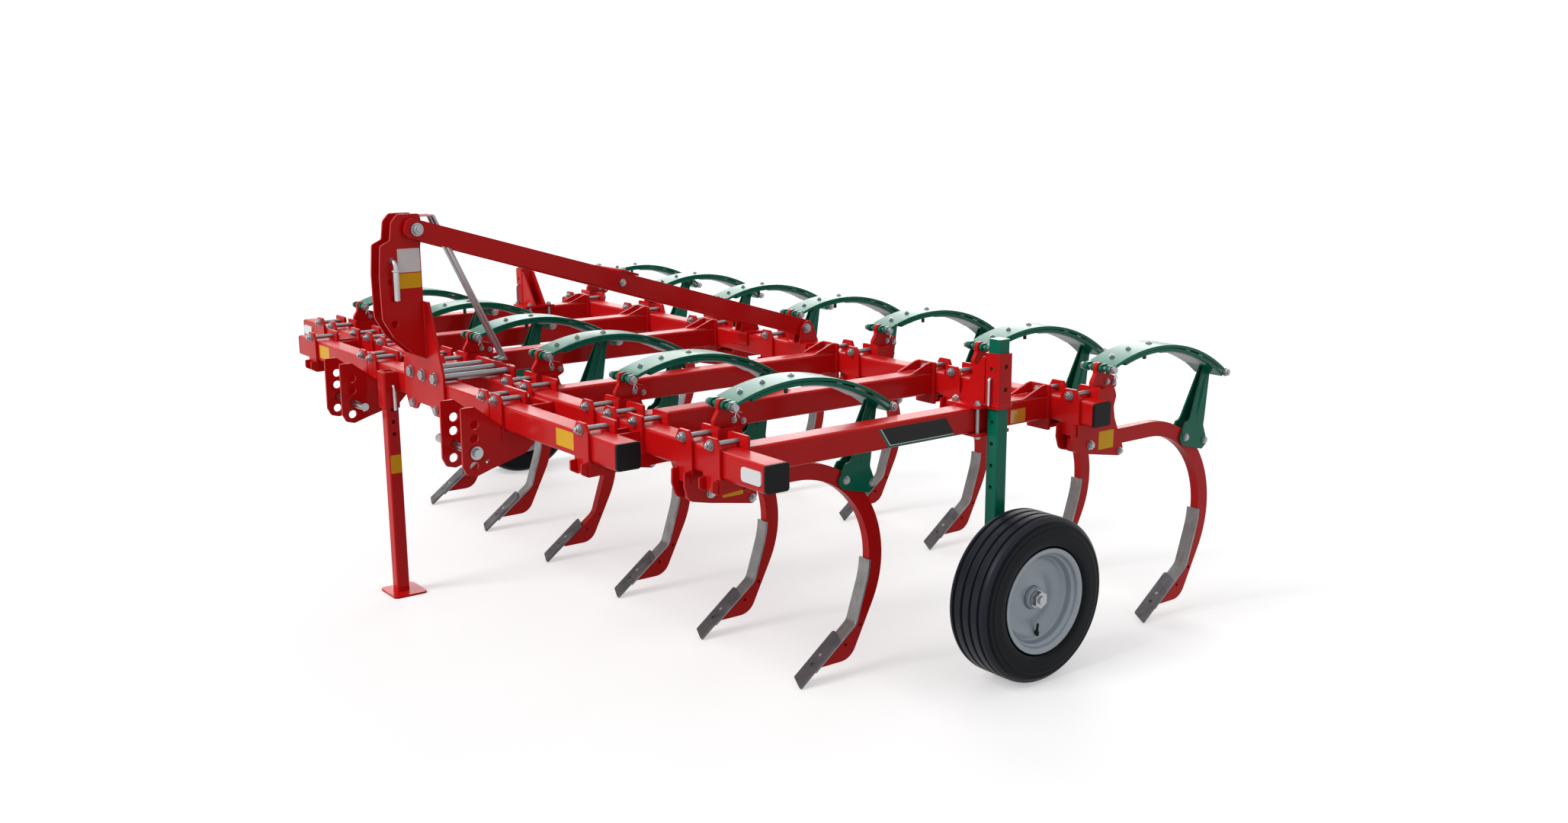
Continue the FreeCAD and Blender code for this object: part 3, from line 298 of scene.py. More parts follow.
def shade(tree, shader, pattern, colour, tones, roughness, spread=(0.0, 1.0)):
    """Ties colour and roughness to a pattern; each pair runs from its low parts to its high ones.

    The tones are factors on the colour, and the spread is the pattern's range for roughness.
    """
    tone = put(tree, "ShaderNodeMix", {6: dimmed(colour, tones[0]), 7: dimmed(colour, tones[1])},
               {0: pattern}, data_type="RGBA")
    rough = put(tree, "ShaderNodeMapRange", {"From Min": spread[0], "From Max": spread[1],
                                             "To Min": roughness[0], "To Max": roughness[1]},
                {"Value": pattern})
    tree.links.new(tone.outputs[2], shader.inputs["Base Color"])
    tree.links.new(rough.outputs["Result"], shader.inputs["Roughness"])


def enamel(name, colour, low=0.30, high=0.42, coat=0.11):
    """Two-pack gloss enamel, sprayed: a strong flat colour under a clear hard skin.

    The skin mirrors the sky at low angles, faint orange peel breaks the mirror up, and the
    film is a little duller where it is dusty.
    """
    tree, shader, place, cloud = start_finish(name, {
        "IOR": 1.5, "Specular IOR Level": 0.10, "Coat Weight": coat, "Coat Roughness": 0.10,
        "Coat IOR": 1.5}, 320, 4.0)
    shade(tree, shader, cloud, colour, (1.06, 0.86), (low, high), (0.3, 0.7))
    # real orange peel is about 2 mm across, drawn at 9 mm so that it shows
    peel = put(tree, "ShaderNodeTexNoise", {"Scale": per_mm(9), "Detail": 2.0},
               {"Vector": place})
    relief = put(tree, "ShaderNodeBump", {"Strength": 0.10, "Distance": 0.0004},
                 {"Height": peel.outputs["Fac"]})
    tree.links.new(relief.outputs["Normal"], shader.inputs["Normal"])
    tree.links.new(relief.outputs["Normal"], shader.inputs["Coat Normal"])


def bare_steel(name, colour, streak, low, high, contrast=0.55):
    """Bare steel, forged or rolled: a metal with dark scale and bright rubbed streaks.

    The streak sizes are along X, Y and Z in millimetres, so rolled plate shows long grain and
    forged points show patches.
    """
    tree, shader, place, patch = start_finish(name, {"Metallic": 0.85}, 55, 4.0)
    grain_place = put(tree, "ShaderNodeMapping", {"Scale": [per_mm(s) for s in streak]},
                      {"Vector": place})
    grain = put(tree, "ShaderNodeTexNoise", {"Scale": 1.0, "Detail": 5.0, "Roughness": 0.6},
                {"Vector": grain_place.outputs["Vector"]})
    both = put(tree, "ShaderNodeMix", {0: 0.45}, {2: grain.outputs["Fac"], 3: patch},
               data_type="FLOAT")
    scale = put(tree, "ShaderNodeMapRange", {"From Min": 0.35, "From Max": 0.65},
                {"Value": both.outputs[0]})
    shade(tree, shader, scale.outputs["Result"], colour, (contrast, 1.15), (high, low))
    relief = put(tree, "ShaderNodeBump", {"Strength": 0.25, "Distance": 0.0006},
                 {"Height": grain.outputs["Fac"]})
    tree.links.new(relief.outputs["Normal"], shader.inputs["Normal"])


def plated_steel(name, colour, low, high, cloud=14):
    """Zinc-plated steel: a bright metal with a cloudy passivated film, duller in patches."""
    tree, shader, _, film = start_finish(name, {"Metallic": 1.0}, cloud)
    shade(tree, shader, film, colour, (0.72, 1.12), (low, high))


def wheel_enamel(name, colour):
    """Sprayed silver-grey wheel enamel: fine aluminium flake makes it faintly metallic."""
    tree, shader, _, cloud = start_finish(name, {"Metallic": 0.1, "Coat Weight": 0.15,
                                                 "Coat Roughness": 0.2}, 70)
    shade(tree, shader, cloud, colour, (0.92, 1.08), (0.34, 0.46))


def moulded(name, colour, low, high, grain, relief=0.2, specular=0.5):
    """Moulded rubber or plastic: one colour right through, with a fine grain off the mould.

    Rubber is nearly matt, and the tyre colour's slight blue is a painted reflection of the sky;
    polypropylene has a low even sheen.
    """
    tree, shader, place, cloud = start_finish(
        name, {"IOR": 1.5, "Specular IOR Level": specular}, 120)
    skin = put(tree, "ShaderNodeTexNoise", {"Scale": per_mm(grain), "Detail": 3.0},
               {"Vector": place})
    shade(tree, shader, cloud, colour, (0.8, 1.3), (low, high))
    bump = put(tree, "ShaderNodeBump", {"Strength": relief, "Distance": 0.0005},
               {"Height": skin.outputs["Fac"]})
    tree.links.new(bump.outputs["Normal"], shader.inputs["Normal"])


def vinyl(name, colour, roughness=0.32):
    """Cast vinyl label: flat printed colour with an even sheen and slight handling marks."""
    tree, shader, _, wear = start_finish(
        name, {"IOR": 1.5, "Specular IOR Level": 0.2}, 25, 4.0)
    shade(tree, shader, wear, colour, (0.93, 1.03), (roughness, roughness + 0.1))


def prismatic(name, colour):
    """Moulded acrylic reflector: a smooth clear face over a field of small prisms."""
    tree, shader, place, _ = start_finish(name, {"IOR": 1.49, "Coat Weight": 1.0,
                                                 "Coat Roughness": 0.05, "Roughness": 0.25})
    # real prisms are about 2.5 mm across, drawn at 6 mm so that they show
    cells = put(tree, "ShaderNodeTexVoronoi", {"Scale": per_mm(6), "Randomness": 0.1},
                {"Vector": place})
    tone = put(tree, "ShaderNodeMix", {6: dimmed(colour, 1.05), 7: dimmed(colour, 0.8)},
               {0: cells.outputs["Distance"]}, data_type="RGBA")
    relief = put(tree, "ShaderNodeBump", {"Strength": 0.3, "Distance": 0.0008},
                 {"Height": cells.outputs["Distance"]})
    tree.links.new(tone.outputs[2], shader.inputs["Base Color"])
    tree.links.new(relief.outputs["Normal"], shader.inputs["Normal"])


# ---------- shapes

def spot(x, y, z):
    """A point given in millimetres."""
    return Vector((x, y, z)) * MM


TURNS = {"X": Matrix.Rotation(math.radians(90), 4, "Y"),
         "Y": Matrix.Rotation(math.radians(-90), 4, "X"), "Z": Matrix()}


def seat(x, y, z, axis="Z", sign=1):
    """A place in millimetres whose own Z runs along an axis, forwards or backwards."""
    flip = Matrix() if sign > 0 else Matrix.Rotation(math.pi, 4, "X")
    return Matrix.Translation(spot(x, y, z)) @ TURNS[axis] @ flip


def facing(point, direction):
    """A place in metres whose own Z runs along a direction."""
    return Matrix.Translation(point) @ direction.to_track_quat("Z", "Y").to_matrix().to_4x4()


def edges_of(verts):
    """Each edge that touches these vertices."""
    return list(dict.fromkeys(edge for vert in verts for edge in vert.link_edges))


def bevel(bm, geom, size, segments=1, affect="EDGES", clamp=True):
    """Rounds edges or corners by a size in millimetres."""
    bmesh.ops.bevel(bm, geom=geom, offset=size * MM, offset_type="OFFSET", segments=segments,
                    profile=0.5, affect=affect, clamp_overlap=clamp, material=-1)


def bar(bm, place, radius, height, sides=20, tip=None, round_by=0.0):
    """A closed cylinder, cone or prism that stands on its place and runs along its Z."""
    verts = bmesh.ops.create_cone(
        bm, cap_ends=True, segments=sides, radius1=radius * MM,
        radius2=(radius if tip is None else tip) * MM, depth=height * MM,
        matrix=place @ Matrix.Translation((0, 0, height * MM / 2)))["verts"]
    if round_by:
        bevel(bm, [e for e in edges_of(verts) if sides == 6 or len(e.link_faces) == 2
                         and e.calc_face_angle(0) > 0.7], round_by)


def stack(bm, place, *bars):
    """Bars on one place: each is a radius, a height, a number of sides and a rounding."""
    for radius, height, sides, rounding in bars:
        bar(bm, place, radius, height, sides, round_by=rounding)


def block(bm, low, high, round_by=0.0):
    """A box between two corners in millimetres."""
    low, high = spot(*low), spot(*high)
    size = high - low
    place = Matrix.Translation((low + high) / 2) @ Matrix.Diagonal((*size, 1.0))
    verts = bmesh.ops.create_cube(bm, size=1.0, matrix=place)["verts"]
    if round_by:
        bevel(bm, edges_of(verts), round_by, 2)


def mesh_of(name, bm):
    """A mesh made from a bmesh, which is freed."""
    mesh = bpy.data.meshes.new(name)
    bm.to_mesh(mesh)
    bm.free()
    return mesh


def join(bm, part, place=None):
    """Adds a finished bmesh to another one and frees it."""
    if place is not None:
        bmesh.ops.transform(part, matrix=place, verts=part.verts)
    mesh = mesh_of("part", part)
    bm.from_mesh(mesh)
    bpy.data.meshes.remove(mesh)


def weld(bm, start, finish, size, step):
    """A rippled fillet bead between two points; its size and ripple step are in metres."""
    start, finish = spot(*start), spot(*finish)
    run = finish - start
    count = max(2, round(run.length / step))
    part = bmesh.new()
    bmesh.ops.create_cone(part, cap_ends=True, segments=8, radius1=size, radius2=size,
                          depth=run.length)
    sides = [e for e in part.edges if abs(e.verts[0].co.z - e.verts[1].co.z) > 1e-6]
    bmesh.ops.subdivide_edges(part, edges=sides, cuts=count - 1, use_grid_fill=True)
    for vert in part.verts:
        ring = round((vert.co.z / run.length + 0.5) * count)
        squeeze = 0.55 if ring in (0, count) else (0.84 if ring % 2 else 1.0)
        vert.co.xy *= squeeze
    join(bm, part, facing((start + finish) / 2, run))


def rounded_plate(width, height, corner, depth, slant=0.0, edge=0.0):
    """A thin plate about the origin with rounded corners; slant shifts its lower edge along X."""
    part = bmesh.new()
    verts = bmesh.ops.create_grid(part, x_segments=1, y_segments=1, size=0.5)["verts"]
    bmesh.ops.scale(part, vec=(width * MM, height * MM, 1), verts=verts)
    for vert in verts:
        vert.co.x -= slant * MM * (vert.co.y / (height * MM))
    bevel(part, verts, corner, 4, affect="VERTICES")
    made = bmesh.ops.extrude_face_region(part, geom=part.faces[:])["geom"]
    top = [g for g in made if isinstance(g, bmesh.types.BMVert)]
    bmesh.ops.translate(part, vec=(0, 0, depth), verts=top)
    if edge:
        rim = [e for e in part.edges if all(v.co.z > depth / 2 for v in e.verts)
               and e.calc_face_angle(0) > 0.7]
        bevel(part, rim, edge, 2)
    bmesh.ops.recalc_face_normals(part, faces=part.faces)
    return part


def on_face(x, y, z, across):
    """A place on an upright face, given the direction across it."""
    across, up = Vector(across), Vector((0, 0, 1))
    basis = Matrix((across, up, across.cross(up))).transposed().to_4x4()
    return Matrix.Translation(spot(x, y, z)) @ basis


def turned(profile, steps):
    """Turns a chain of (along the axle, radius, rounding) points about X; rings are rounded."""
    bm = bmesh.new()
    verts = [bm.verts.new(spot(x, 0, r)) for x, r, _ in profile]
    edges = [bm.edges.new(pair) for pair in zip(verts, verts[1:] + verts[:1])
             if pair[1] is not verts[0] or profile[0][1] > 0]
    bmesh.ops.spin(bm, geom=verts + edges, cent=(0, 0, 0), axis=(1, 0, 0),
                   angle=math.tau, steps=steps, use_merge=True, use_duplicate=False)
    bmesh.ops.remove_doubles(bm, verts=bm.verts, dist=1e-6)
    for size in sorted({p[2] for p in profile if p[2]}, reverse=True):
        marks = [(x * MM, r * MM) for x, r, s in profile if s == size]
        rings = [e for e in bm.edges if any(
            all(abs(v.co.x - x) < 1e-5 and abs(v.co.yz.length - r) < 1e-5 for v in e.verts)
            for x, r in marks)]
        bevel(bm, rings, size, 5 if size > 12 else 3 if size > 4 else 2, clamp=False)
    bmesh.ops.recalc_face_normals(bm, faces=bm.faces)
    return bm


def new_loop(made):
    """The corners that an extrusion made, and the closed loop at its far end."""
    fresh = {g for g in made if isinstance(g, bmesh.types.BMVert)}
    return fresh, [g for g in made if isinstance(g, bmesh.types.BMEdge)
                   and fresh.issuperset(g.verts)]


def run_on(part, loop, move):
    """Carries a loop of edges straight on by a move in metres."""
    fresh, loop = new_loop(bmesh.ops.extrude_edge_only(part, edges=loop)["geom"])
    bmesh.ops.translate(part, vec=move, verts=list(fresh))
    return loop


def swing(part, loop, centre, angle, steps):
    """Carries a loop of edges round a centre, which is a point and an axis."""
    point, axis = centre
    verts = list(dict.fromkeys(v for e in loop for v in e.verts))
    made = bmesh.ops.spin(part, geom=verts + loop, cent=point, axis=axis, angle=angle,
                          steps=steps, use_merge=False, use_duplicate=False)["geom_last"]
    return new_loop(made)[1]


def close(part, size=0.0):
    """Caps the open ends of a swept shape and rounds their rims."""
    open_edges = [e for e in part.edges if len(e.link_faces) == 1]
    bmesh.ops.holes_fill(part, edges=open_edges, sides=0)
    bmesh.ops.recalc_face_normals(part, faces=part.faces)
    if size:
        bevel(part, [e for e in part.edges if e.calc_face_angle(0.0) > 0.9], size, 2)


def bent_bar(bm, place, radius, lead, curve, fall, sides=16):
    """A round bar that runs along its place's Z, bends over and runs along its place's X."""
    part = bmesh.new()
    bmesh.ops.create_circle(part, cap_ends=False, segments=sides, radius=radius * MM)
    loop = run_on(part, part.edges[:], spot(0, 0, lead))
    loop = swing(part, loop, (spot(curve, 0, lead), (0, 1, 0)), math.pi / 2, 6)
    run_on(part, loop, spot(fall, 0, 0))
    close(part, radius * 0.3)
    join(bm, part, place)


def curved_strip(bm, x_range, centre, radii, angles, steps, round_by=1.2):
    """A flat strip swept about X: across x_range, between two radii, from angle to angle.

    Angles are in radians from straight up, positive to the rear.
    """
    part = bmesh.new()
    verts = bmesh.ops.create_grid(part, x_segments=1, y_segments=1, size=0.5)["verts"]
    bmesh.ops.delete(part, geom=part.faces[:], context="FACES_ONLY")
    low, high = x_range
    inner, outer = radii
    hub = spot(0, *centre)
    place = Matrix.Translation(hub) @ Matrix.Rotation(-angles[0], 4, "X") \
        @ Matrix.Translation(spot((low + high) / 2, 0, (inner + outer) / 2)) \
        @ Matrix.Rotation(math.pi / 2, 4, "X") \
        @ Matrix.Diagonal(((high - low) * MM, (outer - inner) * MM, 1, 1))
    bmesh.ops.transform(part, matrix=place, verts=verts)
    swing(part, part.edges[:], (hub, (1, 0, 0)), angles[0] - angles[1], steps)
    close(part, round_by)
    join(bm, part)


def arc_angle(y, curve):
    """The angle from straight up of a point of a curve, given its distance behind the beam."""
    (middle, _), radius = curve
    return math.asin((y - middle) / radius)


def make_piece(name, bm, finish, body="plough_frame", slot=None, nodes=(), smooth=40.0,
               second=None):
    """Turns a bmesh into a piece at the origin that rides on a body.

    The slot that is given, or else its finish's own where it has one, is not used. A second
    finish goes to the faces whose middle passes its test.
    """
    for face in bm.faces:
        face.smooth = True
        if second:
            face.material_index = int(second[1](face.calc_center_median()))
    limit = math.radians(smooth)
    for edge in bm.edges:
        edge.smooth = len(edge.link_faces) == 2 and edge.calc_face_angle(0.0) < limit
    mesh = mesh_of(name, bm)
    mesh.materials.append(finishes[finish])
    if second:
        mesh.materials.append(finishes[second[0]])
    piece = bpy.data.objects.new(name, mesh)
    bpy.context.scene.collection.objects.link(piece)
    weigh = piece.modifiers.new("Flat faces stay flat", "WEIGHTED_NORMAL")
    weigh.keep_sharp = True
    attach(piece, body)
    slot = slot or SLOT_OF_FINISH.get(finish)
    if nodes:
        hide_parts(*nodes)
    return piece


def rounded_copy(node, size, segments, shape=None):
    """A merged copy of a CAD node, shaped if need be, whose sharp edges are rounded over."""
    bm = bmesh.new()
    bm.from_mesh(frame["nodes"][node].data)
    bmesh.ops.remove_doubles(bm, verts=bm.verts, dist=1e-5)
    bmesh.ops.dissolve_limit(bm, angle_limit=math.radians(0.6), verts=bm.verts, edges=bm.edges,
                             use_dissolve_boundaries=False, delimit=set())
    if shape:
        shape(bm)
    sharp = [e for e in bm.edges if len(e.link_faces) == 2
             and e.calc_face_angle(0.0) > math.radians(32)]
    bevel(bm, sharp, size, segments)
    return bm


def draw_in_arms(bm):
    """Leans the yokes' arms to the rear and draws them in towards the spring's tail."""
    bmesh.ops.bisect_plane(bm, geom=bm.verts[:] + bm.edges[:] + bm.faces[:],
                           plane_co=spot(0, 0, ARM_FOOT), plane_no=(0, 0, 1))
    shanks = [(spot(x, line + SHANK_MIDDLE[0], SHANK_MIDDLE[1]), x, line) for x, line in TINES]
    for vert in bm.verts:
        climb = (vert.co.z / MM - ARM_FOOT) / (ARM_TOP - ARM_FOOT)
        if climb <= 0:
            continue
        _, x, line = min(shanks, key=lambda shank: (vert.co - shank[0]).length)
        reach = ARM_BACK - (vert.co.y / MM - line)
        sign = math.copysign(1, vert.co.x - x * MM)
        vert.co += climb * spot(-sign * ARM_DRAWN_IN, ARM_LEAN[0] + ARM_LEAN[1] * reach,
                                ARM_DROP[0] + ARM_DROP[1] * reach)


def leaf_spot(y, depth=0.0):
    """Height of the spring's upper face at a distance behind the beam, and its upward normal."""
    (middle, low), radius = UPPER_CURVE
    reach = radius - depth
    z = low + math.sqrt(reach * reach - (y - middle) ** 2)
    normal = Vector((0, y - middle, z - low)).normalized()
    return z, normal


# ---------- operators

class Step:
    """What the operators share: each can be undone and run again."""

    bl_options = {"REGISTER", "UNDO"}


class PLOUGH_OT_finishes(Step, bpy.types.Operator):
    """Makes the paints, metals, rubber and plastics and gives them to the CAD parts"""

    bl_idname = "plough.finishes"
    bl_label = "Finishes"

    def execute(self, context):
        c = context.scene.plough_colours
        enamel("red_enamel", c.red)
        enamel("green_enamel", c.green, low=0.24, high=0.34, coat=0.13)
        plated_steel("zinc_plated_steel", c.zinc, 0.30, 0.48)
        plated_steel("bright_zinc_rod", dimmed(c.zinc, 1.35), 0.26, 0.36, cloud=70)
        plated_steel("polished_pin_steel", dimmed(c.zinc, 1.05), 0.16, 0.26, cloud=90)
        bare_steel("forged_share_steel", c.share, (40, 60, 60), 0.34, 0.55)
        bare_steel("rolled_wear_steel", c.wear, (4, 130, 130), 0.32, 0.5, 0.7)
        plated_steel("galvanised_rod", dimmed(c.zinc, 0.85), 0.42, 0.58)
        plated_steel("grey_spring_steel", dimmed(c.zinc, 0.75), 0.42, 0.6)
        bare_steel("black_bolt_steel", dimmed(c.share, 0.35), (9, 9, 9), 0.4, 0.6)
        wheel_enamel("silver_wheel_enamel", c.rim)
        # the tread and the casing's sides are lit and shaded copies of one rubber: the tread's
        # paler tone is a painted sheen of the sky
        moulded("tread_rubber", dimmed(c.rubber, 1.7), 0.36, 0.52, 2.0, 0.15, 0.22)
        moulded("sidewall_rubber", dimmed(c.rubber, 0.6), 0.26, 0.38, 2.0, 0.08, 0.10)
        moulded("moulded_black_plastic", c.cap, 0.42, 0.52, 3.0, 0.12, 0.15)
        vinyl("yellow_vinyl", c.yellow)
        vinyl("white_vinyl", c.white)
        vinyl("black_vinyl", c.cap, 0.25)
        vinyl("green_vinyl", c.green)
        prismatic("white_reflector", c.white)
        prismatic("amber_reflector", c.amber)
        for name, node in frame["nodes"].items():
            slot = node.data.materials[0].name.split(".")[0]
            node.material_slots[0].material = finishes[
                FINISH_OF_NODE.get(name, FINISH_OF_SLOT[slot])]
            node["paint_slot"] = slot
        return {"FINISHED"}


class PLOUGH_OT_rounded_steel(Step, bpy.types.Operator):
    """Rounds the edges of plates, beams, leaves and bolts as thick paint and plating do"""

    bl_idname = "plough.rounded_steel"
    bl_label = "Rounded steel"

    def execute(self, context):
        # a post's bare axle end begins at its face, and a hose holder's ends are painted
        axle = ("polished_pin_steel", lambda p: abs(p.x) > (POST_STATION + POST_HALF) * MM)
        ends = ("red_enamel", lambda p: p.y < HOLDER_FRONT * MM or p.z > HOLDER_TOP * MM)
        second = {"wheel_post_left": axle, "wheel_post_right": axle, "hose_holders": ends}
        for name, node in sorted(frame["nodes"].items()):
            if name in REMODELLED:
                continue
            size, segments = ROUNDING.get(name, PLAIN_ROUNDING)
            slot = node["paint_slot"]
            finish = FINISH_OF_NODE.get(name, FINISH_OF_SLOT[slot])
            make_piece("rounded_" + name, rounded_copy(name, size, segments), finish,
                       body=node["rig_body"], slot=slot, nodes=(name,), second=second.get(name))
        return {"FINISHED"}


class PLOUGH_OT_washers(Step, bpy.types.Operator):
    """Adds washers and bolt ends at the frame's bolts, and the long shanks between the beams"""

    bl_idname = "plough.washers"
    bl_label = "Washers"

    def execute(self, context):
        thick = context.scene.plough_sizes.washer_thickness / MM
        bm = bmesh.new()

        def washer(x, y, z, axis, sign, radius):
            bar(bm, seat(x, y, z, axis, sign), radius, thick, 24)

        for x, line in THROUGH_BOLTS + TINES:
            face = line - PLATE_BACK
            washer(x, face, CLAMP_BOLT_HEIGHT, "Y", -1, 20.5)
            bar(bm, seat(x, face - 13, CLAMP_BOLT_HEIGHT, "Y", -1), 13.5, 5, 16, round_by=1.2)
            bar(bm, seat(x, face - 18, CLAMP_BOLT_HEIGHT, "Y", -1), 9, 8, 16, round_by=1.5)
        for x, line in THROUGH_BOLTS:
            washer(x, line + PLATE_BACK, CLAMP_BOLT_HEIGHT, "Y", 1, 20.5)
        for x, z, radius, _, _ in HEADSTOCK_BOLTS:
            washer(x, FRONT - PLATE_BACK, z, "Y", -1, radius)
            washer(x, MIDDLE + PLATE_BACK, z, "Y", 1, radius)
        for x, line in TINES:
            for reach, y, z, radius in TINE_BOLTS:
                for sign in (1, -1):
                    washer(x + sign * reach, line + y, z, "X", sign, radius)
        for x, y in WHEEL_PLATE_BOLTS:
            for z, sign in ((947.5, -1), (1072.5, 1)):
                washer(x, y, z, "Z", sign, 15.5)
        x, y, z = STAY_FRONT
        rear_x, rear_y, rear_z = STAY_REAR
        for sign in (1, -1):
            washer(sign * x, y, z, "X", sign, 28)
            stack(bm, seat(sign * x, y, z, "X", sign), (22.5, 17, 6, 1.6), (10, 24, 18, 1.5))
            for stay in (1, -1):
                washer(stay * rear_x + sign * 29.5, rear_y, rear_z, "X", sign, 24)
        # bolts of the cross plate between the stays, whose slope it shares
        slope = math.atan2(z - rear_z, rear_y - y)
        up = Vector((0, math.sin(slope), math.cos(slope)))
        middle = spot(0, (y + rear_y) / 2, (z + rear_z) / 2)
        for sign in (1, -1):
            stack(bm, facing(middle + up * 0.0535 + spot(sign * 110, 0, 0), up),
                  (17, 3, 20, 0), (14.5, 14, 6, 1.2))
            stack(bm, seat(sign * 176.5, -394, 1434, "X", sign),
                  (17, 3, 20, 0), (14.5, 13, 6, 1.2), (8, 20, 14, 1.0))
        make_piece("washers", bm, "zinc_plated_steel")
        rods = bmesh.new()
        for x, line in THROUGH_BOLTS + TINES:
            bar(rods, seat(x, line - BEAM_HALF, CLAMP_BOLT_HEIGHT, "Y"), 10.3, 2 * BEAM_HALF, 24)
        for x, z, _, radius, sides in HEADSTOCK_BOLTS:
            bar(rods, seat(x, FRONT - BEAM_HALF, z, "Y"), radius,
                MIDDLE - FRONT + 2 * BEAM_HALF, sides)
        for x, y in WHEEL_PLATE_BOLTS:
            bar(rods, seat(x, y, 948), 8.3, 124, 20)
        make_piece("bolt_shanks", rods, "galvanised_rod")
        return {"FINISHED"}


class PLOUGH_OT_welds(Step, bpy.types.Operator):
    """Lays painted weld beads where brackets, flanges, mast and sleeves are welded"""

    bl_idname = "plough.welds"
    bl_label = "Weld beads"

    def execute(self, context):
        sizes = context.scene.plough_sizes
        bm = bmesh.new()

        def bead(start, finish, scale=1.0):
            weld(bm, start, finish, sizes.bead * scale, sizes.ripple)

        def bead_round(corners, scale=1.0):
            for start, finish in zip(corners, corners[1:] + corners[:1]):
                bead(start, finish, scale)

        def upright(x, y, low, high, scale=1.0):
            bead((x, y, low), (x, y, high), scale)

        for x, line in TINES:
            for sign in (1, -1):
                upright(x + sign * 45, line + PLATE_BACK, 966, 1088)
                upright(x + sign * 10, line + PLATE_BACK, 1014, 1100)
                bead((x + sign * 10, line + 166, 1014), (x + sign * 35, line + 158, 1014), 0.8)
        for x in SIDE_BEAMS:
            for y in (MIDDLE + PLATE_BACK, REAR - PLATE_BACK):
                bead_round([(x + a * BEAM_HALF, y, 1010 + b * 48)
                            for a, b in SQUARE])
            for offset in (-47, -37, 37, 47):
                upright(x + offset, REAR - PLATE_BACK, 1064, 1098, 0.8)
        for sign in (1, -1):
            for x in (39, 51):
                upright(sign * x, FRONT - PLATE_BACK, 1164, 1402)
            bead_round([(sign * (POST_STATION + a * SLEEVE_HALF), WHEEL_LINE + b * SLEEVE_HALF,
                         1073) for a, b in SQUARE], 1.1)
            for y in (-38, -28, 28, 38):
                upright(sign * (POST_STATION - 40), WHEEL_LINE + y, 1080, 1255, 0.9)
            for x in (539, 551, 729, 741):
                upright(sign * x, FRONT + PLATE_BACK, 922, 1044, 0.9)
            for x in (1335, 1345, 1415, 1425):
                upright(sign * x, MIDDLE - PLATE_BACK, 964, 1044, 0.9)
        make_piece("weld_beads", bm, "red_enamel", smooth=70.0)
        return {"FINISHED"}


class PLOUGH_OT_spring_leaves(Step, bpy.types.Operator):
    """Sweeps the spring leaves: rolled ears round the pin, a lower leaf and a bare packing leaf"""

    bl_idname = "plough.spring_leaves"
    bl_label = "Spring leaves"

    def execute(self, context):
        sizes = context.scene.plough_sizes
        thick, half = sizes.leaf / MM, sizes.leaf_width / MM / 2
        upper, lower, bare = bmesh.new(), bmesh.new(), bmesh.new()

        def leaf(bm, half, curve, depths, span, steps, round_by):
            """One leaf, by half its width, its curve, the depths of its faces and its span."""
            (y, z), radius = curve
            curved_strip(bm, (x - half, x + half), (line + y, z), [radius - d for d in depths],
                         [arc_angle(reach, curve) for reach in span], steps, round_by)

        for x, line in TINES:
            eye = (line + SPRING_EYE[0], SPRING_EYE[1])
            leaf(upper, half, UPPER_CURVE, (thick, 0), (120, 881), 26, 2.0)
            for low, high in ((13, 29), (48, 65), (-29, -13), (-65, -48)):
                curved_strip(upper, (x + low, x + high), eye, (10.2, 18.0),
                             (math.radians(10), math.radians(-285)), 14, 1.0)
                block(upper, (x + low, line + 104, 1180.5), (x + high, line + 128, 1191.3), 1.0)
            # painted nut near the tail
            z, up = leaf_spot(806)
            bar(upper, facing(spot(x, line + 806, z - 1), up), 11, 9, 6, round_by=1.0)
            leaf(lower, half, LOWER_CURVE, (thick, 0), (186, 850), 24, 2.0)
            leaf(bare, half - 14, LOWER_CURVE, (thick + 7, thick + 0.5), (430, 748), 14, 1.0)
            for y in (600, 690):
                z, up = leaf_spot(y, 14.5)
                spacer = bmesh.new()
                block(spacer, (-half + 6, -14, -9), (half - 6, 14, 0))
                basis = Matrix(((1, 0, 0), up.cross(Vector((1, 0, 0))), up)).transposed()
                join(bare, spacer, Matrix.Translation(spot(x, line + y, z)) @ basis.to_4x4())
        make_piece("spring_upper_leaf_set", upper, "green_enamel",
                   nodes=("spring_upper_leaves",), smooth=30.0)
        make_piece("spring_lower_leaf_set", lower, "green_enamel",
                   nodes=("spring_lower_leaves",), smooth=30.0)
        make_piece("spring_packing_leaves", bare, "grey_spring_steel", smooth=30.0)
        return {"FINISHED"}


class PLOUGH_OT_yokes(Step, bpy.types.Operator):
    """Shapes the yokes: arms drawn in towards the spring, with pressed ribs and dimples"""

    bl_idname = "plough.yokes"
    bl_label = "Yokes"

    def execute(self, context):
        bm = rounded_copy("spring_yokes", *PLAIN_ROUNDING, shape=draw_in_arms)
        for x, line in TINES:
            for sign in (1, -1):
                way = Vector((-sign * 14, 74, 200)).normalized()
                rib = facing(spot(x + sign * 21, line + 770, 974), way) \
                    @ Matrix.Diagonal((9 * MM, 9 * MM, 98 * MM, 1))
                bmesh.ops.create_uvsphere(bm, u_segments=14, v_segments=10, radius=1, matrix=rib)
                bmesh.ops.create_uvsphere(bm, u_segments=12, v_segments=8, radius=9 * MM,
                                          matrix=seat(x + sign * 25, line + 745, 868))
        make_piece("pressed_yokes", bm, "green_enamel", nodes=("spring_yokes",))
        return {"FINISHED"}


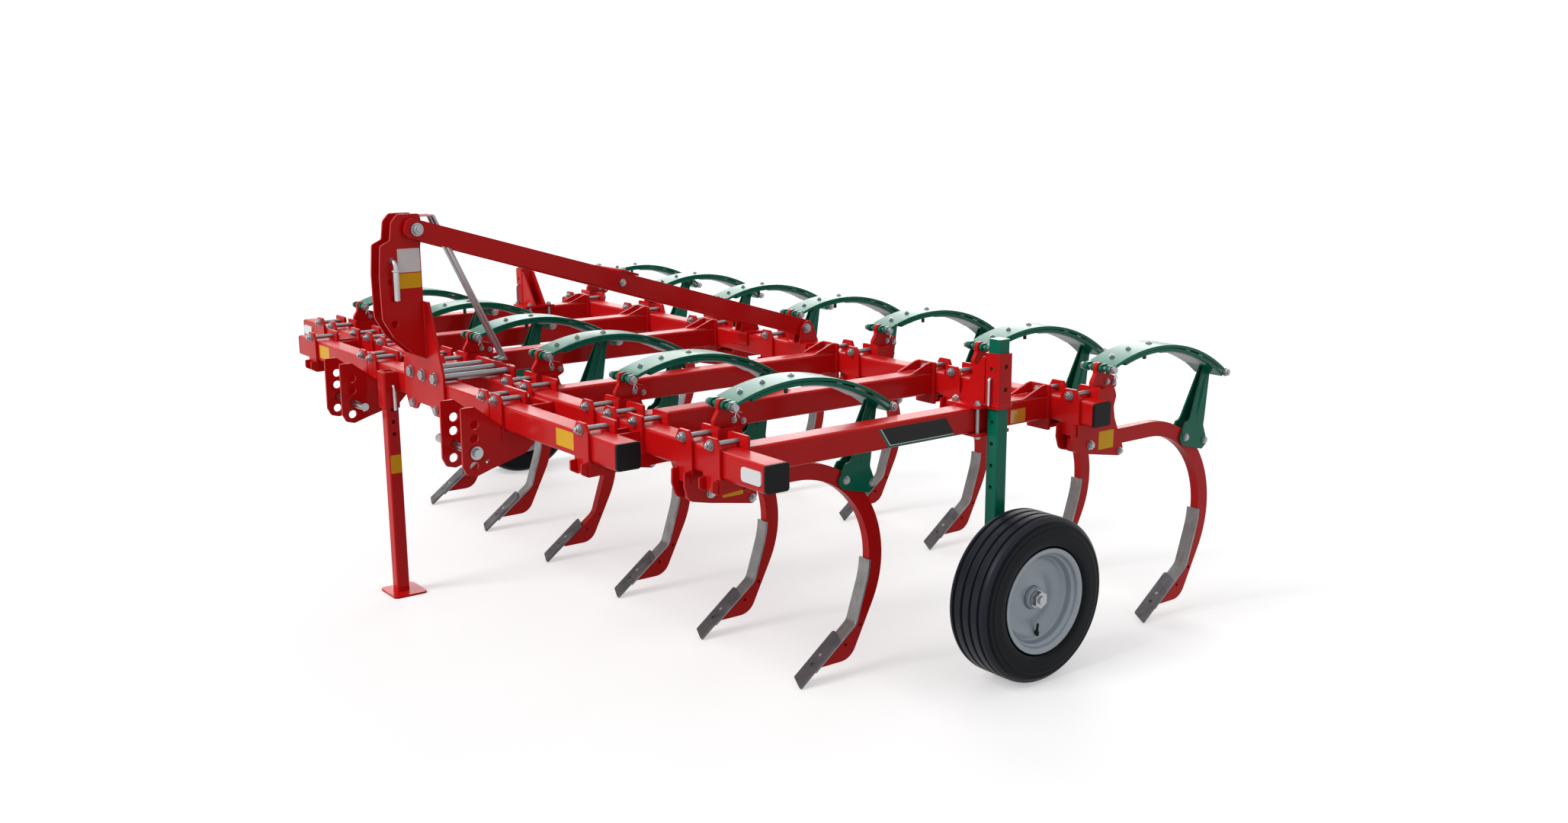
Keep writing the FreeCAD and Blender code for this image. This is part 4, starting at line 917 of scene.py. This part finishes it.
class PLOUGH_OT_spring_fittings(Step, bpy.types.Operator):
    """Adds the springs' eye pins, castle nuts, cotters, leaf bolts, studs and tail bolts"""

    bl_idname = "plough.spring_fittings"
    bl_label = "Spring fittings"

    def execute(self, context):
        metal, dark = bmesh.new(), bmesh.new()
        for x, line in TINES:
            # pin in the windows between the ears, castle nut and cotter
            eye, height = line + SPRING_EYE[0], SPRING_EYE[1]
            for offset, radius, length, sides in ((-66, 9.9, 132, 18), (86, 12.5, 6, 12),
                                                  (68, 19, 4, 20)):
                bar(metal, seat(x + offset, eye, height, "X"), radius, length, sides)
            bar(metal, seat(x + 88.5, eye, 1160), 2.0, 32, 8)
            for lean in (-0.45, 0.45):
                way = Vector((0.35, lean, -1.0)).normalized()
                bar(metal, facing(spot(x + 88.5, eye, 1161), way), 1.8, 24, 8)
            # bolts through the leaves
            for y, across, height in ((186, 19, 8), (287, 19, 8), (420, 22, 6)):
                z, up = leaf_spot(y)
                stack(metal, facing(spot(x, line + y, z), up), (across * 0.66, 1.8, 20, 0),
                      (across / math.sqrt(3), height, 6, 0.8), (across * 0.26, height + 4, 10, 0))
            # stud under the crown
            z, up = leaf_spot(395, 28)
            stack(dark, facing(spot(x, line + 395, z), -up), (14, 9, 6, 0.8), (8, 36, 14, 1.0))
            # cross bolt that clasps the leaves' tails
            z, up = leaf_spot(861.5, 12)
            for sign in (1, -1):
                for reach, radius, length, sides, rounding in (
                        (72, 19, 4, 24, 0), (76, 17.5, 13, 6, 1.4), (89, 9.5, 5, 16, 1.0)):
                    bar(metal, seat(x + sign * reach, line + 861.5, z, "X", sign), radius,
                        length, sides, round_by=rounding)
        make_piece("spring_bolts", metal, "zinc_plated_steel")
        make_piece("spring_stops", dark, "black_bolt_steel", slot="wear_steel")
        return {"FINISHED"}


class PLOUGH_OT_share_bolts(Step, bpy.types.Operator):
    """Sets the two countersunk bolts in each share"""

    bl_idname = "plough.share_bolts"
    bl_label = "Share bolts"

    def execute(self, context):
        along = Vector((0, math.cos(SHARE_SLOPE), math.sin(SHARE_SLOPE)))
        up = Vector((0, -along.z, along.y))
        # alike bolts: the lower ones are painted black as painted shade, the upper ones bright
        # zinc as a painted highlight
        for name, distance, finish in (("lower", 113, "black_bolt_steel"),
                                       ("upper", 163, "bright_zinc_rod")):
            bm = bmesh.new()
            for x, line in TINES:
                middle = spot(x, line + SHARE_START[0], SHARE_START[1]) + along * distance * MM
                head = facing(middle - up * 0.010, up)
                bar(bm, head, 7.6, 9.4, 20, round_by=0.6)
            make_piece("share_bolts_" + name, bm, finish)
        return {"FINISHED"}


class PLOUGH_OT_wheels(Step, bpy.types.Operator):
    """Turns the ribbed tyres, the stepped rims and the hubs, and adds the valves"""

    bl_idname = "plough.wheels"
    bl_label = "Depth wheels"

    tyre = [(-93, 199, 0), (-93, 216, 3), (-101, 221, 0), (-103.5, 224, 1.5), (-104, 228, 1.5),
            (-107.5, 231, 0), (-109.6, 246, 12), (-109.6, 262, 12), (-109, 283, 0),
            (-109.6, 284.5, 0.7), (-109.5, 287.5, 0.7), (-108.2, 289, 0), (-106.5, 303, 6),
            (-106.8, 304.5, 0.8), (-105.6, 308, 0.8), (-103.5, 312, 8), (-88.5, 331.6, 7)]
    grooves = (-66, -22, 22, 66)

    def tyre_profile(self):
        """One side of the casing, the crown with its grooves, the other side and the inside."""
        crown = []
        for x in self.grooves:
            crown += [(x - 7.5, 334.8, 2), (x - 4.5, 324, 2)]
            crown += [(x + 4.5, 324, 2), (x + 7.5, 334.8, 2)]
        other = [(-x, r, s) for x, r, s in reversed(self.tyre)]
        inside = [(80, 199, 0), (84, 216, 0), (96, 256, 0), (92, 300, 0), (72, 316, 0)]
        inside += [(-x, r, s) for x, r, s in reversed(inside)]
        return self.tyre + crown + other + inside

    rim = [(-103, 212.6, 2), (-97, 212.6, 2), (-95.4, 196.2, 3), (95.4, 196.2, 3),
           (97, 212.6, 2), (103, 212.6, 2), (101.5, 196, 4), (97, 190, 5), (82, 188, 5),
           (76, 177, 5), (70, 175, 5), (52, 173, 5), (44, 163, 5), (32, 156, 10), (23, 118, 14),
           (32, 80, 8), (34, 47, 0.8), (26, 47, 0.8), (24, 74, 0), (14, 118, 0), (21, 166, 0),
           (12, 188, 0), (-92, 188, 5), (-99, 196, 4)]
    hub = [(-118, 22.1, 0), (-118, 40, 2), (2, 40, 4), (12, 63, 3), (23.2, 63, 1), (23.2, 45, 0),
           (46, 45, 3.5), (54, 38, 1.5), (54, 22.1, 0)]

    def execute(self, context):
        for name, side in SIDES:
            place = Matrix.Translation(spot(side * WHEEL_STATION, WHEEL_LINE, WHEEL_HEIGHT)) \
                @ Matrix.Diagonal((side, 1, 1, 1))
            body = "wheel_" + name
            # the tread is painted paler than the casing's sides of the same rubber, a painted
            # sheen of the sky
            tread = ("tread_rubber", lambda p: math.hypot(
                p.y - WHEEL_LINE * MM, p.z - WHEEL_HEIGHT * MM) > TREAD_EDGE * MM)
            for part, profile, steps, finish, slot, second in (
                    ("tyre", self.tyre_profile(), 120, "sidewall_rubber", "tyre_rubber", tread),
                    ("rim", self.rim, 96, "silver_wheel_enamel", None, None),
                    ("hub", self.hub, 48, "silver_wheel_enamel", None, None)):
                bm = turned(profile, steps)
                bmesh.ops.transform(bm, matrix=place, verts=bm.verts)
                bmesh.ops.recalc_face_normals(bm, faces=bm.faces)
                node = "wheel_%s_%s" % (part, name)
                make_piece("turned_" + node, bm, finish, body=body, slot=slot, nodes=(node,),
                           smooth=35.0, second=second)
            valve = bmesh.new()
            way = Vector((0.12, 0, 1)).normalized()
            root = facing(spot(38, 26, -163), way)
            bar(valve, root, 9.5, 16, 16, tip=8.5)
            bar(valve, root, 8.5, 30, 16, tip=5.2)
            bar(valve, root, 5.2, 50, 14, round_by=0.8)
            bmesh.ops.transform(valve, matrix=place, verts=valve.verts)
            bmesh.ops.recalc_face_normals(valve, faces=valve.faces)
            make_piece("wheel_valve_" + name, valve, "tread_rubber", body=body)
        return {"FINISHED"}


class PLOUGH_OT_locking_pins(Step, bpy.types.Operator):
    """Bends the zinc pins that lock the wheel posts, the stand and the parked top link pin"""

    bl_idname = "plough.locking_pins"
    bl_label = "Locking pins"

    def execute(self, context):
        radius = context.scene.plough_sizes.locking_pin / MM
        down = Vector((0, 0, -1))

        def hooked(bm, point, way, lead, fall, size, curve=None):
            """A bar that comes out along a way and hangs down."""
            way = Vector(way)
            basis = Matrix((down, way.cross(down), way)).transposed().to_4x4()
            bent_bar(bm, Matrix.Translation(spot(*point)) @ basis, size, lead,
                     curve or size * 1.7, fall)

        pins = bmesh.new()
        for side in (1, -1):
            hooked(pins, (side * POST_STATION, WHEEL_LINE - SLEEVE_HALF, 1181), (0, -1, 0),
                   3, 96, radius)
        make_piece("wheel_locking_pins", pins, "bright_zinc_rod", slot="zinc",
                   nodes=("wheel_pins",))
        pin = bmesh.new()
        hooked(pin, (STAND_STATION + STAND_SLEEVE_HALF, STAND_LINE, 991), (1, 0, 0), 8, 100, 7.0)
        make_piece("stand_locking_pin", pin, "bright_zinc_rod", slot="zinc",
                   nodes=("stand_pin",))
        pin = bmesh.new()
        line, height = PARKED_PIN
        hooked(pin, (MAST_FACE, line, height), (1, 0, 0), 3, 130, 10.0, curve=30)
        bar(pin, seat(MAST_FACE, line, height, "X", -1), 11, 106, 18)
        bar(pin, seat(84, line, height - 45), 18, 9, 24, round_by=1.5)
        bar(pin, seat(84, line, height - 168), 13.2, 124, 24, round_by=2.0)
        make_piece("parked_top_link_pin", pin, "bright_zinc_rod", slot="zinc",
                   nodes=("mast_pin",))
        return {"FINISHED"}


class PLOUGH_OT_labels(Step, bpy.types.Operator):
    """Applies the blank vinyl labels on beams, brackets and mast"""

    bl_idname = "plough.labels"
    bl_label = "Labels"

    def execute(self, context):
        film = context.scene.plough_sizes.label_film
        yellow, white, black, green = bmesh.new(), bmesh.new(), bmesh.new(), bmesh.new()

        def label(bm, place, width, height, corner, slant=0.0, lift=0.0):
            join(bm, rounded_plate(width, height, corner, film, slant),
                 place @ Matrix.Translation((0, 0, lift * film)))

        panel, tall, slant = 340, 76, 52        # the side panel's length, height and slant
        for side in (1, -1):
            label(yellow, on_face(side * 1238, FRONT - BEAM_HALF, 1016, (1, 0, 0)), 132, 66, 4)
            for k, line in ((2.5, MIDDLE), (3, REAR)):
                face = on_face(side * (PITCH * k + 45), line + 118, 878, (0, side, 0))
                label(yellow, face, 92, 76, 4)
            beam = on_face(side * (OUTER_BEAM + BEAM_HALF), -164, 1003, (0, side, 0))
            # green below, a thin silver line, then black, each a little smaller
            label(green, beam, panel, tall, 3, slant=side * slant)
            for bm, inset, lift in ((white, 7, 0.8), (black, 10, 1.6)):
                inner = beam @ Matrix.Translation(spot(side * inset * 0.7, inset / 2, 0))
                label(bm, inner, panel - inset, tall - inset, 3,
                      slant=side * slant * (tall - inset) / tall, lift=lift)
        stand = bmesh.new()
        label(stand, on_face(STAND_STATION + 30, STAND_LINE, 622, (0, 1, 0)), 50, 86, 4)
        make_piece("stand_label", stand, "yellow_vinyl", body="stand")
        for bm, z, height in ((white, 1589, 100), (yellow, 1503, 64)):
            label(bm, on_face(MAST_FACE, FRONT - 118, z, (0, 1, 0)), 100, height, 4)
        make_piece("yellow_labels", yellow, "yellow_vinyl")
        make_piece("white_labels", white, "white_vinyl")
        make_piece("side_panels", black, "black_vinyl")
        make_piece("side_stripes", green, "green_vinyl")
        return {"FINISHED"}


class PLOUGH_OT_reflectors(Step, bpy.types.Operator):
    """Fixes the white front reflectors and the amber side reflectors"""

    bl_idname = "plough.reflectors"
    bl_label = "Reflectors"

    def execute(self, context):
        proud = context.scene.plough_sizes.reflector
        white, amber = bmesh.new(), bmesh.new()
        for side in (1, -1):
            join(white, rounded_plate(114, 52, 14, proud, edge=2.0),
                 on_face(side * 2104, MIDDLE - BEAM_HALF, 1009, (1, 0, 0)))
            join(amber, rounded_plate(86, 56, 5, proud * 0.5, edge=0.8),
                 on_face(side * (OUTER_BEAM + BEAM_HALF), 385, 998, (0, side, 0)))
        make_piece("front_reflectors", white, "white_reflector")
        make_piece("side_reflectors", amber, "amber_reflector")
        return {"FINISHED"}


class PLOUGH_OT_stage(Step, bpy.types.Operator):
    """Lays the pale floor and sets the studio light and the camera"""

    bl_idname = "plough.stage"
    bl_label = "Studio"

    def lay_floor(self, scene, studio):
        bm = bmesh.new()
        bmesh.ops.create_grid(bm, x_segments=1, y_segments=1, size=FLOOR_REACH)
        floor = bpy.data.objects.new("studio_floor", mesh_of("studio_floor", bm))
        scene.collection.objects.link(floor)
        material = bpy.data.materials.new("matt_studio_floor")
        floor.data.materials.append(material)
        tree = emptied_tree(material)
        ray, seen = seen_rays(tree)
        # soft light that comes back up from the ground is dimmer than the floor looks, as
        # outdoors, so that upright faces keep a deep colour
        tone = put(tree, "ShaderNodeMix", {6: tuple(studio.floor),
                                           7: dimmed(studio.floor, studio.ground)},
                   {0: ray.outputs["Is Diffuse Ray"]}, data_type="RGBA")
        matt = put(tree, "ShaderNodeBsdfDiffuse", {}, {"Color": tone.outputs[2]})
        lift = put(tree, "ShaderNodeMath", {1: studio.glow}, {0: seen}, operation="MULTIPLY")
        glow = put(tree, "ShaderNodeEmission", {}, {"Strength": lift.outputs[0]})
        both = put(tree, "ShaderNodeAddShader", {}, {0: matt.outputs[0], 1: glow.outputs[0]})
        put(tree, "ShaderNodeOutputMaterial", {}, {"Surface": both.outputs[0]})

    def light_up(self, scene, studio):
        scene.world = bpy.data.worlds.new("white_studio")
        tree = emptied_tree(scene.world)
        _, seen = seen_rays(tree)
        light = put(tree, "ShaderNodeBackground", {"Color": (1, 1, 1, 1), "Strength": studio.sky})
        white = put(tree, "ShaderNodeBackground", {"Color": (1, 1, 1, 1), "Strength": 1.0})
        mix = put(tree, "ShaderNodeMixShader", {}, {0: seen, 1: light.outputs[0],
                                                    2: white.outputs[0]})
        put(tree, "ShaderNodeOutputWorld", {}, {"Surface": mix.outputs[0]})
        for name, strength, spread, way in (("key_light", studio.key, 25, (-0.10, -0.74, 0.67)),
                                            ("back_light", studio.back, 40, (-0.70, 0.58, 0.40))):
            lamp = bpy.data.lights.new(name, "SUN")
            lamp.energy = strength
            lamp.angle = math.radians(spread)
            sun = bpy.data.objects.new(name, lamp)
            sun.matrix_world = facing(Vector(way) * 8, Vector(way).normalized())
            scene.collection.objects.link(sun)

    def set_camera(self, scene):
        azimuth, elevation, roll = (math.radians(angle) for angle in CAMERA_TURN)
        view = bpy.data.cameras.new("studio_camera")
        view.lens = 33.128
        view.sensor_width = 36.0
        view.shift_x = -0.00405
        view.shift_y = 0.0074
        view.clip_end = 400.0
        camera = bpy.data.objects.new("studio_camera", view)
        camera.matrix_world = Matrix.Translation(CAMERA_PLACE) \
            @ Matrix.Rotation(azimuth, 4, "Z") \
            @ Matrix.Rotation(math.pi / 2 - elevation, 4, "X") \
            @ Matrix.Rotation(roll, 4, "Z")
        scene.collection.objects.link(camera)
        scene.camera = camera

    def execute(self, context):
        scene = context.scene
        self.lay_floor(scene, scene.plough_studio)
        self.light_up(scene, scene.plough_studio)
        self.set_camera(scene)
        scene.view_settings.view_transform = "Standard"
        return {"FINISHED"}


STEPS = (PLOUGH_OT_finishes, PLOUGH_OT_rounded_steel, PLOUGH_OT_washers, PLOUGH_OT_welds,
         PLOUGH_OT_spring_leaves, PLOUGH_OT_yokes, PLOUGH_OT_spring_fittings,
         PLOUGH_OT_share_bolts, PLOUGH_OT_wheels, PLOUGH_OT_locking_pins, PLOUGH_OT_labels,
         PLOUGH_OT_reflectors, PLOUGH_OT_stage)


class PLOUGH_PT_panel(bpy.types.Panel):
    """Lists the steps that finish the plough"""

    bl_idname = "PLOUGH_PT_panel"
    bl_label = "Chisel plough"
    bl_space_type = "VIEW_3D"
    bl_region_type = "UI"
    bl_category = "Plough"

    def draw(self, context):
        for step in STEPS:
            self.layout.operator(step.bl_idname)
        for settings in ("plough_colours", "plough_sizes", "plough_studio"):
            group = getattr(context.scene, settings)
            box = self.layout.box()
            for key in group.bl_rna.properties.keys():
                if key not in ("rna_type", "name"):
                    box.prop(group, key)


SETTINGS = {"plough_colours": PLOUGH_PG_colours, "plough_sizes": PLOUGH_PG_sizes,
            "plough_studio": PLOUGH_PG_studio}
CLASSES = (*SETTINGS.values(), *STEPS, PLOUGH_PT_panel)


def register():
    for cls in CLASSES:
        bpy.utils.register_class(cls)
    for name, group in SETTINGS.items():
        setattr(bpy.types.Scene, name, bpy.props.PointerProperty(type=group))


def unregister():
    for name in SETTINGS:
        delattr(bpy.types.Scene, name)
    for cls in reversed(CLASSES):
        bpy.utils.unregister_class(cls)


def main():
    register()
    for step in STEPS:
        getattr(bpy.ops.plough, step.bl_idname.split(".")[1])()


if __name__ == "__main__":
    main()
